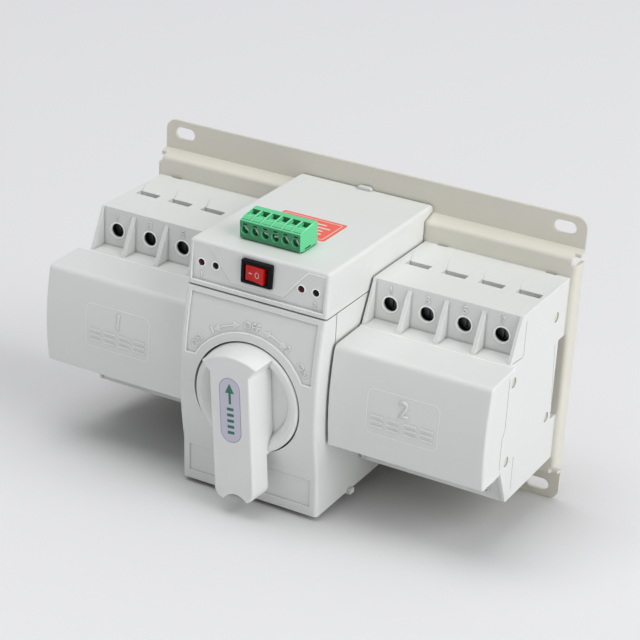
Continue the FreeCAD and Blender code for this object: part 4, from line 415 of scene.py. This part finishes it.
for name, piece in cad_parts.items():
    piece.data.materials.clear()
    piece.data.materials.append(NODE_FINISH.get(name, STEEL))


# ---- floor, light and camera --------------------------------------------------------------------

# how much paler the paper looks to the camera than its light makes it: near, and more per metre
# beyond where it turns into the backdrop
PAPER_LIFT, BACKDROP_LIFT, BACKDROP_START = 0.055, 0.11, 0.25
# the paper's own two tones, and a darker one painted as shadow near the switch
PAPER_DARK, PAPER_PALE, PAPER_SHADED = (
    colour(0.88, 0.88, 0.895), colour(0.93, 0.93, 0.94), colour(0.60, 0.60, 0.59))
PAPER_SHADE_REACH = 0.20
FLOOR_HALF, FLOOR_GAP = 6.0, 0.2 * MM

# the strength of the air as a light, and what is added where it is looked at
AIR_TINT, AIR_LIGHT, AIR_LIFT = colour(0.93, 0.94, 0.96), 0.285, 0.565

LAMPS_AIM = (0, -0.05, 0)
CAMERA_PLACE, CAMERA_AHEAD = (0.41093, -0.82200, 0.41235), (-0.42297, 0.80445, -0.41707)
CAMERA_ROLL = math.radians(3.24)
SENSOR, LENS = 36.0, 118.34


def looked_at(tree):
    """One where the camera or a reflection looks, and zero where light falls."""
    rays = tree.nodes.new("ShaderNodeLightPath")
    return math_node(tree, "MAXIMUM", rays.outputs["Is Camera Ray"],
                     rays.outputs["Is Glossy Ray"])


def floor_finish():
    """Pale studio paper with a painted shadow close to the switch, and paler far behind it."""
    made = bpy.data.materials.new("studio_paper")
    made.use_nodes = True
    tree = made.node_tree
    shader = tree.nodes["Principled BSDF"]
    shader.inputs["Roughness"].default_value = 0.75
    shader.inputs["Specular IOR Level"].default_value = 0.2
    fibre = object_noise(tree, 900.0, detail=3.0, roughness=0.6)
    cloud = object_noise(tree, 2.2, detail=2.0, roughness=0.5)
    level = math_node(tree, "ADD", math_node(tree, "MULTIPLY", fibre, 0.02),
                      math_node(tree, "MULTIPLY", cloud, 0.02))
    shade = mix_colours(tree, level, PAPER_DARK, PAPER_PALE)
    # painted shadow: the paper turns darker where the switch is near
    near = add(tree, "ShaderNodeAmbientOcclusion", samples=8, Distance=PAPER_SHADE_REACH)
    tree.links.new(mix_colours(tree, near.outputs["AO"], PAPER_SHADED, shade),
                   shader.inputs["Base Color"])
    where = tree.nodes.new("ShaderNodeTexCoord")
    split = tree.nodes.new("ShaderNodeSeparateXYZ")
    tree.links.new(where.outputs["Object"], split.inputs[0])
    beyond = math_node(tree, "MAXIMUM", math_node(
        tree, "SUBTRACT", split.outputs["Y"], BACKDROP_START), 0.0)
    lift = math_node(tree, "ADD", math_node(tree, "MULTIPLY", beyond, BACKDROP_LIFT), PAPER_LIFT)
    # painted shadow: the paper's glow also fades where the switch is near
    open_air = math_node(tree, "POWER", near.outputs["AO"], 2.0)
    glow = math_node(tree, "MULTIPLY", math_node(tree, "MULTIPLY", looked_at(tree), lift),
                     open_air)
    shader.inputs["Emission Color"].default_value = colour(1.0, 1.0, 1.0)
    tree.links.new(glow, shader.inputs["Emission Strength"])
    return made


def piece_from(name, shape, material):
    """An object of a bmesh, which is used up, with one material."""
    mesh = bpy.data.meshes.new(name)
    shape.to_mesh(mesh)
    shape.free()
    mesh.materials.append(material)
    piece = bpy.data.objects.new(name, mesh)
    bpy.context.collection.objects.link(piece)
    return piece


def make_floor():
    """A sheet of paper under the switch, which rests on its plate's edge and its front edge."""
    lean = math.atan2(COVER_LOW.z - PLATE_LOW.z, -COVER_LOW.y)
    sheet = bmesh.new()
    bmesh.ops.create_grid(sheet, x_segments=2, y_segments=2, size=FLOOR_HALF)
    bmesh.ops.rotate(sheet, verts=sheet.verts, matrix=Matrix.Rotation(-lean, 3, "X"))
    bmesh.ops.translate(sheet, verts=sheet.verts, vec=(0, 0, PLATE_LOW.z - FLOOR_GAP))
    floor = piece_from("studio_floor", sheet, floor_finish())


def make_lamp(name, place, size, power):
    """A round soft lamp that looks at the switch; size is its width in metres."""
    light = bpy.data.lights.new(name, "AREA")
    light.shape, light.size, light.energy = "DISK", size, power
    lamp = bpy.data.objects.new(name, light)
    bpy.context.collection.objects.link(lamp)
    lamp.location = place
    lamp.rotation_euler = (Vector(LAMPS_AIM) - Vector(place)).to_track_quat("-Z", "Y").to_euler()


def make_world():
    """Soft even light, and a pale backdrop where the camera sees past the floor."""
    world = bpy.data.worlds.new("studio_air")
    bpy.context.scene.world = world
    world.use_nodes = True
    tree = world.node_tree
    back = tree.nodes["Background"]
    back.inputs["Color"].default_value = AIR_TINT
    seen = math_node(tree, "MULTIPLY", looked_at(tree), AIR_LIFT)
    tree.links.new(math_node(tree, "ADD", seen, AIR_LIGHT), back.inputs["Strength"])


def make_camera():
    """A long lens from the upper right, rolled a little."""
    data = bpy.data.cameras.new("camera")
    data.sensor_width, data.lens = SENSOR, LENS
    data.clip_start, data.clip_end = 0.05, 30.0
    camera = bpy.data.objects.new("camera", data)
    bpy.context.collection.objects.link(camera)
    ahead = Vector(CAMERA_AHEAD).normalized()
    level = ahead.cross(UP).normalized()
    upright = level.cross(ahead)
    right = level * math.cos(CAMERA_ROLL) + upright * math.sin(CAMERA_ROLL)
    up = upright * math.cos(CAMERA_ROLL) - level * math.sin(CAMERA_ROLL)
    camera.rotation_mode = "QUATERNION"
    camera.rotation_quaternion = Matrix((right, up, -ahead)).transposed().to_quaternion()
    camera.location = CAMERA_PLACE
    bpy.context.scene.camera = camera


# ---- flat outlines, and how they are laid on a face ---------------------------------------------

# an outline's across and along directions, and the way into the face
FRONT, TOP = (RIGHT, UP, INTO), (RIGHT, INTO, DOWN)
# how far off a face a ray towards it starts
RAY_START = 20 * MM
# the height of a capital in the built-in font, as a share of the font's size
CAPITAL = 0.7


def skin(node):
    """What a ray meets on a node's surface."""
    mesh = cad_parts[node].data
    return BVHTree.FromPolygons([v.co.copy() for v in mesh.vertices],
                                [list(p.vertices) for p in mesh.polygons])


def lettering(text, height, fatter=0.0):
    """Flat letters in XY, centred on the origin; height is that of a capital.

    fatter widens every stroke by that much to either side.
    """
    curve = bpy.data.curves.new("lettering", "FONT")
    curve.body, curve.size, curve.offset = text, height / CAPITAL, fatter
    curve.align_x, curve.align_y = "CENTER", "CENTER"
    curve.resolution_u = 4
    holder = bpy.data.objects.new("lettering", curve)
    bpy.context.collection.objects.link(holder)
    flat = bmesh.new()
    flat.from_mesh(bpy.data.meshes.new_from_object(
        holder.evaluated_get(bpy.context.evaluated_depsgraph_get())))
    bpy.data.objects.remove(holder)
    bmesh.ops.remove_doubles(flat, verts=flat.verts, dist=1e-7)
    return flat


def moved(flat, across=0.0, along=0.0, turn=0.0):
    """The same outline turned clockwise by degrees, then moved in its plane."""
    bmesh.ops.rotate(flat, verts=flat.verts, matrix=Matrix.Rotation(-math.radians(turn), 3, "Z"))
    bmesh.ops.translate(flat, verts=flat.verts, vec=(across, along, 0))
    return flat


def plate_of(corners):
    """A flat polygon in XY from its corners."""
    flat = bmesh.new()
    flat.faces.new([flat.verts.new((x, y, 0)) for x, y in corners])
    return flat


def bar(width, height, across=0.0, along=0.0, turn=0.0):
    """A flat bar, turned clockwise by degrees, with its middle at across and along."""
    x, y = width / 2, height / 2
    return moved(plate_of([(-x, -y), (x, -y), (x, y), (-x, y)]), across, along, turn)


def stadium(half_width, half_length, radius, steps=8):
    """Corners of a rounded rectangle about the origin, anticlockwise."""
    corners = []
    for quarter, (sx, sy) in enumerate(((1, 1), (-1, 1), (-1, -1), (1, -1))):
        for step in range(steps + 1):
            angle = math.pi / 2 * (quarter + step / steps)
            corners.append((sx * (half_width - radius) + radius * math.cos(angle),
                            sy * (half_length - radius) + radius * math.sin(angle)))
    return corners


def outlined(half_width, half_length, radius, line):
    """A rounded rectangular line as a strip of quads."""
    flat = bmesh.new()
    rings = [[flat.verts.new((x, y, 0)) for x, y in stadium(
        half_width - inset, half_length - inset, radius - inset)] for inset in (0, line)]
    count = len(rings[0])
    for i in range(count):
        j = (i + 1) % count
        flat.faces.new((rings[0][i], rings[0][j], rings[1][j], rings[1][i]))
    return flat


def bow(radius, line, start, end, heads=False, steps=8):
    """A curved line about the origin, in degrees clockwise from up; heads puts on two arrows."""
    flat = bmesh.new()

    def at(reach_out, degrees):
        angle = math.radians(degrees)
        return flat.verts.new((reach_out * math.sin(angle), reach_out * math.cos(angle), 0))

    rows = [(at(radius - line / 2, start + (end - start) * i / steps),
             at(radius + line / 2, start + (end - start) * i / steps)) for i in range(steps + 1)]
    for (a, b), (c, d) in zip(rows, rows[1:]):
        flat.faces.new((a, c, d, b))
    head_half, head_degrees = 1.5 * line + 0.6 * MM, 5
    for degrees, way in ((start, -1), (end, 1)) if heads else ():
        flat.faces.new((at(radius - head_half, degrees),
                        at(radius, degrees + way * head_degrees),
                        at(radius + head_half, degrees)))
    return flat


def trace(points, width):
    """A thin line through points, as one bar for each stretch."""
    return [bar(width, math.hypot(x1 - x0, y1 - y0), (x0 + x1) / 2, (y0 + y1) / 2,
                math.degrees(math.atan2(x1 - x0, y1 - y0)))
            for (x0, y0), (x1, y1) in zip(points, points[1:])]


def gathered(flats):
    """All the outlines as one."""
    whole = bmesh.new()
    for flat in flats:
        spare = bpy.data.meshes.new("spare")
        flat.to_mesh(spare)
        flat.free()
        whole.from_mesh(spare)
        bpy.data.meshes.remove(spare)
    return whole


def thickened(shape, way):
    """Give flat outlines a depth, by a copy of their faces moved that way."""
    grown = bmesh.ops.extrude_face_region(shape, geom=shape.faces[:])["geom"]
    bmesh.ops.translate(shape, verts=[item for item in grown
                                      if isinstance(item, bmesh.types.BMVert)], vec=way)


def laid_on(name, flats, node, origin, axes, lift, material, slices=0.0, sink=0.1 * MM):
    """Lay flat outlines on a node's face, raise them and make one object of them.

    axes are as in FRONT; slices is the step at which the outlines are cut so that they follow a
    curved face, and sink is how far they go into it.
    """
    across, along, into = axes
    flat = gathered(flats)
    if slices:
        span = [v.co.y for v in flat.verts]
        for cutting in range(int(min(span) / slices), int(max(span) / slices) + 1):
            bmesh.ops.bisect_plane(flat, geom=flat.verts[:] + flat.edges[:] + flat.faces[:],
                                   plane_co=(0, cutting * slices, 0), plane_no=(0, 1, 0))
    face_of = skin(node)
    for vert in flat.verts:
        flat_place = origin + across * vert.co.x + along * vert.co.y
        hit = face_of.ray_cast(flat_place - into * RAY_START, into)[0]
        vert.co = (hit or flat_place) - into * lift
    thickened(flat, into * (lift + sink))
    bmesh.ops.recalc_face_normals(flat, faces=flat.faces[:])
    return piece_from(name, flat, material)


# ---- moulded marks and lips, and painted highlights and shade lines -----------------------------

def pole_centres(side):
    """The x of the middle of each pole of a breaker."""
    low, high = reach(f"breaker_{side}")
    pitch = (high.x - low.x) / POLES
    return [low.x + pitch * (i + 0.5) for i in range(POLES)]


def number_terminals(side):
    """Odd numbers over the upper clamp screws and even ones under the lower screws."""
    capital, fatter, clear = 3.7 * MM, 0.07 * MM, 3.4 * MM
    height = reach(f"terminal_screws_{side}")[1].z + clear
    marks = []
    for i, x in enumerate(pole_centres(side)):
        for digit, z in ((2 * i + 1, height), (2 * i + 2, -height)):
            marks.append(moved(lettering(str(digit), capital, fatter), x, z))
    piece = laid_on(f"terminal_numbers_{side}", marks, f"breaker_{side}",
                    Vector((0, TERMINAL_FACE, 0)), FRONT, RAISED, MOULDED_MARK)
    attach(piece, "base")


def mark_cover(side, numeral, across, up):
    """A faint rounded line round a plain numeral and four plain groups of bars."""
    half_width, half_height, corner, line = 17.4 * MM, 10.8 * MM, 3.2 * MM, 0.5 * MM
    bar_width, bar_height, figure_height, fatter = 5.8 * MM, 0.76 * MM, 7.6 * MM, 0.12 * MM
    group_step, row_step, top_row = 8.0 * MM, -2.5 * MM, -1.8 * MM
    middle = sum(pole_centres(side)) / POLES + across
    origin = Vector((middle, reach(f"nose_cover_{side}")[0].y, up))
    bars = [bar(bar_width, bar_height, (group - 1.5) * group_step, top_row + row * row_step)
            for group in range(4) for row in range(3)]
    figure = moved(lettering(numeral, figure_height, fatter), across=0.4 * MM, along=4.4 * MM)
    for name, flats, lift, material in (
            ("cover_line", [outlined(half_width, half_height, corner, line)], FAINT_RELIEF,
             MOULDED_FAINT),
            ("cover_mark", [figure, *bars], RAISED, MOULDED_MARK)):
        piece = laid_on(f"{name}_{side}", flats, f"nose_cover_{side}", origin, FRONT, lift,
                        material, slices=2.4 * MM)
        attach(piece, "base")


def mark_dial():
    """Positions of the knob round its hole: off at the top, on to either side."""
    ring, fatter, line = 33.8 * MM, 0.05 * MM, 0.55 * MM
    marks = []
    for text, degrees, capital in (("OFF", 0, 3.4), ("ON", -52, 3.2), ("ON", 52, 3.2),
                                   ("1", -35, 3.4), ("2", 33, 3.4)):
        angle = math.radians(degrees)
        marks.append(moved(lettering(text, capital * MM, fatter), ring * math.sin(angle),
                           ring * math.cos(angle), degrees))
    marks += [bow(ring, line, -28.5, -15.5, heads=True), bow(ring, line, 15.5, 26.5, heads=True)]
    piece = laid_on("dial_marks", marks, "front_cover",
                    Vector((0, COVER_LOW.y, KNOB_CENTRE.z)), FRONT, RAISED,
                    MOULDED_MARK, slices=3 * MM)
    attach(piece, "base")


def mark_lamps():
    """Plain supply numbers under the two pairs of lamps."""
    out, drop, capital, fatter = 28.4 * MM, 4.0 * MM, 3.0 * MM, 0.06 * MM
    height = reach("closed_lamps")[0].z - drop
    marks = [moved(lettering(text, capital, fatter), x, height)
             for text, x in (("1", -out), ("2", out))]
    piece = laid_on("lamp_marks", marks, "hood", Vector((0, HOOD_LOW.y, 0)), FRONT,
                    RAISED, MOULDED_MARK)
    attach(piece, "base")


def rings_on(name, node, places, inner, width, lift, sink=0.12 * MM):
    """Flat raised rings, painted pale as highlights, about points (x, z) of a node's front, each
    level with the face there.

    The face is read close outside the ring, on its side towards the middle.
    """
    clear, outer = 0.3 * MM, inner + width
    low = reach(node)[0]
    face_of = skin(node)
    whole = []
    for x, z in places:
        inward = -1 if z > 0 else 1
        start = Vector((x, low.y - RAY_START, z + inward * (outer + clear)))
        face = face_of.ray_cast(start, INTO)[0].y
        ring = outlined(outer, outer, outer, width)
        bmesh.ops.rotate(ring, verts=ring.verts, matrix=Matrix.Rotation(math.pi / 2, 3, "X"))
        bmesh.ops.translate(ring, verts=ring.verts, vec=(x, face - lift, z))
        thickened(ring, INTO * (lift + sink))
        whole.append(ring)
    rings = gathered(whole)
    bmesh.ops.recalc_face_normals(rings, faces=rings.faces[:])
    piece = piece_from(name, rings, EDGE_HIGHLIGHT)
    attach(piece, "base")


def lip_screw_holes(side):
    """A low raised lip round each clamp screw's hole, painted pale as a highlight."""
    height = reach(f"terminal_screws_{side}")[1].z - SCREW_RADIUS
    rings_on(f"hole_lip_highlights_{side}", f"breaker_{side}",
             [(x, z) for x in pole_centres(side) for z in (height, -height)],
             inner=SHADE_SHEET_RADIUS + 0.06 * MM, width=0.69 * MM, lift=0.22 * MM)


def lip_lamp_holes():
    """A low raised lip round each lamp's hole, painted pale as a highlight."""
    places = []
    for lamps in ("supply_lamps", "closed_lamps"):
        low, high = reach(lamps)
        radius = (high.z - low.z) / 2
        places += [(x, low.z + radius) for x in (low.x + radius, high.x - radius)]
    rings_on("lamp_lip_highlights", "hood", places, inner=1.62 * MM, width=0.53 * MM, lift=0.10 * MM,
             sink=0.05 * MM)


def line_screw_holes(side):
    """A dark sheet painted as shade inside each clamp screw's hole, from near its mouth to the
    screw's head.
    """
    before_head, depth = 2.6 * MM, 2.8 * MM
    low, high = reach(f"terminal_screws_{side}")
    height = high.z - SCREW_RADIUS
    walls = bmesh.new()
    for x in pole_centres(side):
        for z in (height, -height):
            ring = bmesh.ops.create_circle(walls, segments=28, radius=SHADE_SHEET_RADIUS)["verts"]
            bmesh.ops.rotate(walls, verts=ring, matrix=Matrix.Rotation(math.pi / 2, 3, "X"))
            bmesh.ops.translate(walls, verts=ring, vec=(x, low.y - before_head, z))
            edges = list({edge for vert in ring for edge in vert.link_edges})
            deep = [item for item in bmesh.ops.extrude_edge_only(walls, edges=edges)["geom"]
                    if isinstance(item, bmesh.types.BMVert)]
            bmesh.ops.translate(walls, verts=deep, vec=INTO * depth)
    piece = piece_from(f"hole_shade_liners_{side}", walls, BLACK_PLASTIC)
    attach(piece, "base")


def edge_panels():
    """Painted highlights: thin pale lines on the edges of the front's sunk panels that face the
    light.
    """
    gap, line = 0.3 * MM, 0.42 * MM
    side, top, foot = -COVER_LOW.x - DIAL_SIDE + gap, HOOD_LOW.z - DIAL_DROP, DIAL_FOOT - gap
    ring = DIAL_RING - gap
    turn = math.acos((foot - KNOB_CENTRE.z) / ring)
    run = ring * math.sin(turn)
    dial = trace([(-side, top), (-side, foot), (-run, foot)], line)
    dial += trace([(run, foot), (side, foot)], line)
    arc = bow(ring, line, -math.degrees(turn), math.degrees(turn), steps=32)
    dial.append(moved(arc, 0, KNOB_CENTRE.z))
    side = -HOOD_LOW.x - FASCIA_BORDER + gap
    foot, top = HOOD_LOW.z + FASCIA_BORDER - gap, HOOD_LOW.z + HOOD_RISE - FASCIA_BORDER + gap
    hood = trace([(-side, top), (-side, foot), (side, foot)], line)
    hood += trace([(SLOPE_FOOT - gap, foot + FASCIA_STRIP), (SLOPE_TOP - gap, top), (side, top)],
                  line)
    for name, flats, node, front in (("dial_edge_highlights", dial, "front_cover", COVER_LOW.y),
                                     ("panel_edge_highlights", hood, "hood", HOOD_LOW.y)):
        piece = laid_on(name, flats, node, Vector((0, front, 0)), FRONT, FILM, EDGE_HIGHLIGHT,
                        slices=3 * MM, sink=0.05 * MM)
        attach(piece, "base")


def line_case(side):
    """Dark lines painted as the shade in the grooves and seams on the outer side of a breaker and
    of its nose cover.
    """
    outward = RIGHT if side == "right" else -RIGHT
    axes = (INTO, UP, -outward)
    for name, node, lines in (
            ("case_groove_shade", f"breaker_{side}", CASE_LINES),
            ("cover_seam_shade", f"nose_cover_{side}", COVER_SEAM)):
        low, high = reach(node)
        start = Vector((high.x if side == "right" else low.x, 0, 0))
        flats = [flat for line, width in lines
                 for flat in trace([(y * MM, z * MM) for y, z in line], width * MM)]
        piece = laid_on(f"{name}_{side}", flats, node, start, axes, FILM, SEAM_SHADE,
                        sink=0.05 * MM)
        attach(piece, "base")


# ---- the rocker, the plug and the labels --------------------------------------------------------

def mark_rocker():
    """White bar and ring on the rocker."""
    half_width, half_height, line = 1.15 * MM, 1.35 * MM, 0.24 * MM
    low, high = reach("rocker")
    dash = bar(1.8 * MM, 0.32 * MM, across=-2.6 * MM)
    ring = moved(outlined(half_width, half_height, half_width, line), across=1.0 * MM)
    piece = laid_on("rocker_marks", [dash, ring], "rocker",
                    Vector((0, low.y, (low.z + high.z) / 2)), FRONT, 0.05 * MM, MARK_WHITE)
    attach(piece, "mode_rocker")


def ridge_plug():
    """Raised ridges between the plug's ways, in a lighter green painted as their highlight; beside
    each ridge a darker line painted as its shade, and a dark band painted as shade at the front of
    each way.
    """
    low, high = reach("plug_body")
    pitch = (high.x - low.x) / WAYS
    front, back = low.y + 0.9 * MM, low.y + 10.2 * MM
    length, middle = back - front, (front + back) / 2
    ridge, shade, shade_set, shade_band = 0.44 * MM, 0.3 * MM, 0.4 * MM, 0.35 * MM
    shade_band_start, shade_band_end = 0.5 * MM, pitch - 0.55 * MM
    ridges = [bar(ridge, length, pitch * i, middle) for i in range(1, WAYS)]
    shades = [bar(shade, length, pitch * i - shade_set, middle) for i in range(1, WAYS)]
    shades += [bar(shade_band_end - shade_band_start, shade_band,
                   pitch * i + (shade_band_start + shade_band_end) / 2, front + shade_band / 2)
               for i in range(WAYS)]
    for name, flats, lift, material in (
            ("plug_ridge_highlights", ridges, 0.2 * MM, RIDGE_HIGHLIGHT),
            ("plug_shade_lines", shades, FILM, PLUG_SHADE)):
        piece = laid_on(name, flats, "plug_body", Vector((low.x, 0, high.z)), TOP, lift, material,
                        slices=0.5 * MM)
        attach(piece, "plug")


def slash_plug_screws():
    """A painted highlight on the edge of each plug screw's slot, every screw turned its own way.
    """
    low, high = reach("plug_screws")
    radius = (high.z - low.z) / 2
    pitch = (high.x - low.x - 2 * radius) / (WAYS - 1)
    width, length = 0.56 * MM, 3.0 * MM
    slots = [bar(width, length, low.x + radius + pitch * i, low.z + radius, turn)
             for i, turn in enumerate(SLOT_TURNS)]
    piece = laid_on("plug_screw_slot_highlights", slots, "plug_screws", Vector((0, low.y, 0)), FRONT,
                    0.05 * MM, SLOT_HIGHLIGHT)
    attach(piece, "plug")


def make_knob_sticker():
    """A lilac label on the grip with an arrow up and plain dashes under it."""
    half_width, half_length, rim = 5.25 * MM, 15.4 * MM, 0.3 * MM
    stem, head, foot, neck, tip = 0.6 * MM, 2.3 * MM, 3.0 * MM, 8.2 * MM, 12.8 * MM
    turn = Matrix.Rotation(KNOB_TURN, 3, INTO)
    axes = (turn @ RIGHT, turn @ UP, INTO)
    origin = Vector((0, reach("knob")[0].y, KNOB_CENTRE.z))
    arrow = plate_of([(-stem, foot), (stem, foot), (stem, neck), (head, neck), (0, tip),
                      (-head, neck), (-stem, neck)])
    dash_width, dash_height, dash_step, top_dash = 3.4 * MM, 1.4 * MM, -2.8 * MM, 0.6 * MM
    dashes = [bar(dash_width, dash_height, 0, top_dash + i * dash_step) for i in range(5)]
    edge = plate_of(stadium(half_width, half_length, half_width))
    label = plate_of(stadium(half_width - rim, half_length - rim, half_width - rim))
    for name, flats, lift, material in (
            ("knob_label_edge", [edge], UNDER_FILM, LABEL_EDGE),
            ("knob_label", [label], FILM, LABEL_LILAC),
            ("knob_label_print", [arrow, *dashes], OVER_FILM, PRINT_GREEN)):
        piece = laid_on(name, flats, "knob", origin, axes, lift, material)
        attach(piece, "knob")


def make_hood_sticker():
    """A red label behind the plug, with a white line round it and plain bars."""
    left, right, front, back = -17.3 * MM, 15.2 * MM, -70.1 * MM, -47.4 * MM
    corner, inset, line_corner, line, text = 1.2 * MM, 1.5 * MM, 0.8 * MM, 0.45 * MM, 1.2 * MM
    half_x, half_y = (right - left) / 2, (back - front) / 2
    middle = Vector(((left + right) / 2, (front + back) / 2, HOOD_HIGH.z))
    white_line = outlined(half_x - inset, half_y - inset, line_corner, line)
    bars = [bar(length * MM, text, shift * MM, y * MM)
            for length, shift, y in ((17, 0, 5.6), (24, 0, 2.2), (22, -1, -1.2), (12, 5, -4.6))]
    for name, flats, lift, material in (
            ("hood_label", [plate_of(stadium(half_x, half_y, corner))], FILM, LABEL_RED),
            ("hood_label_print", [white_line, *bars], OVER_FILM, MARK_WHITE)):
        piece = laid_on(name, flats, "hood", middle, TOP, lift, material)
        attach(piece, "base")


# each cover's numeral, and how far right of and above its middle the mark stands
for side, numeral, across, up in (("left", "1", -2.1 * MM, 2.5 * MM),
                                  ("right", "2", 0.2 * MM, 1.0 * MM)):
    number_terminals(side)
    mark_cover(side, numeral, across, up)
    line_screw_holes(side)
    lip_screw_holes(side)
    line_case(side)
mark_dial()
mark_lamps()
lip_lamp_holes()
edge_panels()
mark_rocker()
ridge_plug()
slash_plug_screws()
make_knob_sticker()
make_hood_sticker()
make_floor()
make_world()
make_camera()
make_lamp("key_right", (3.15, -0.30, 1.75), size=3.6, power=84)
make_lamp("top_soft", (-0.5, -0.3, 3.0), size=2.4, power=38)
bpy.context.scene.view_settings.view_transform = "Standard"
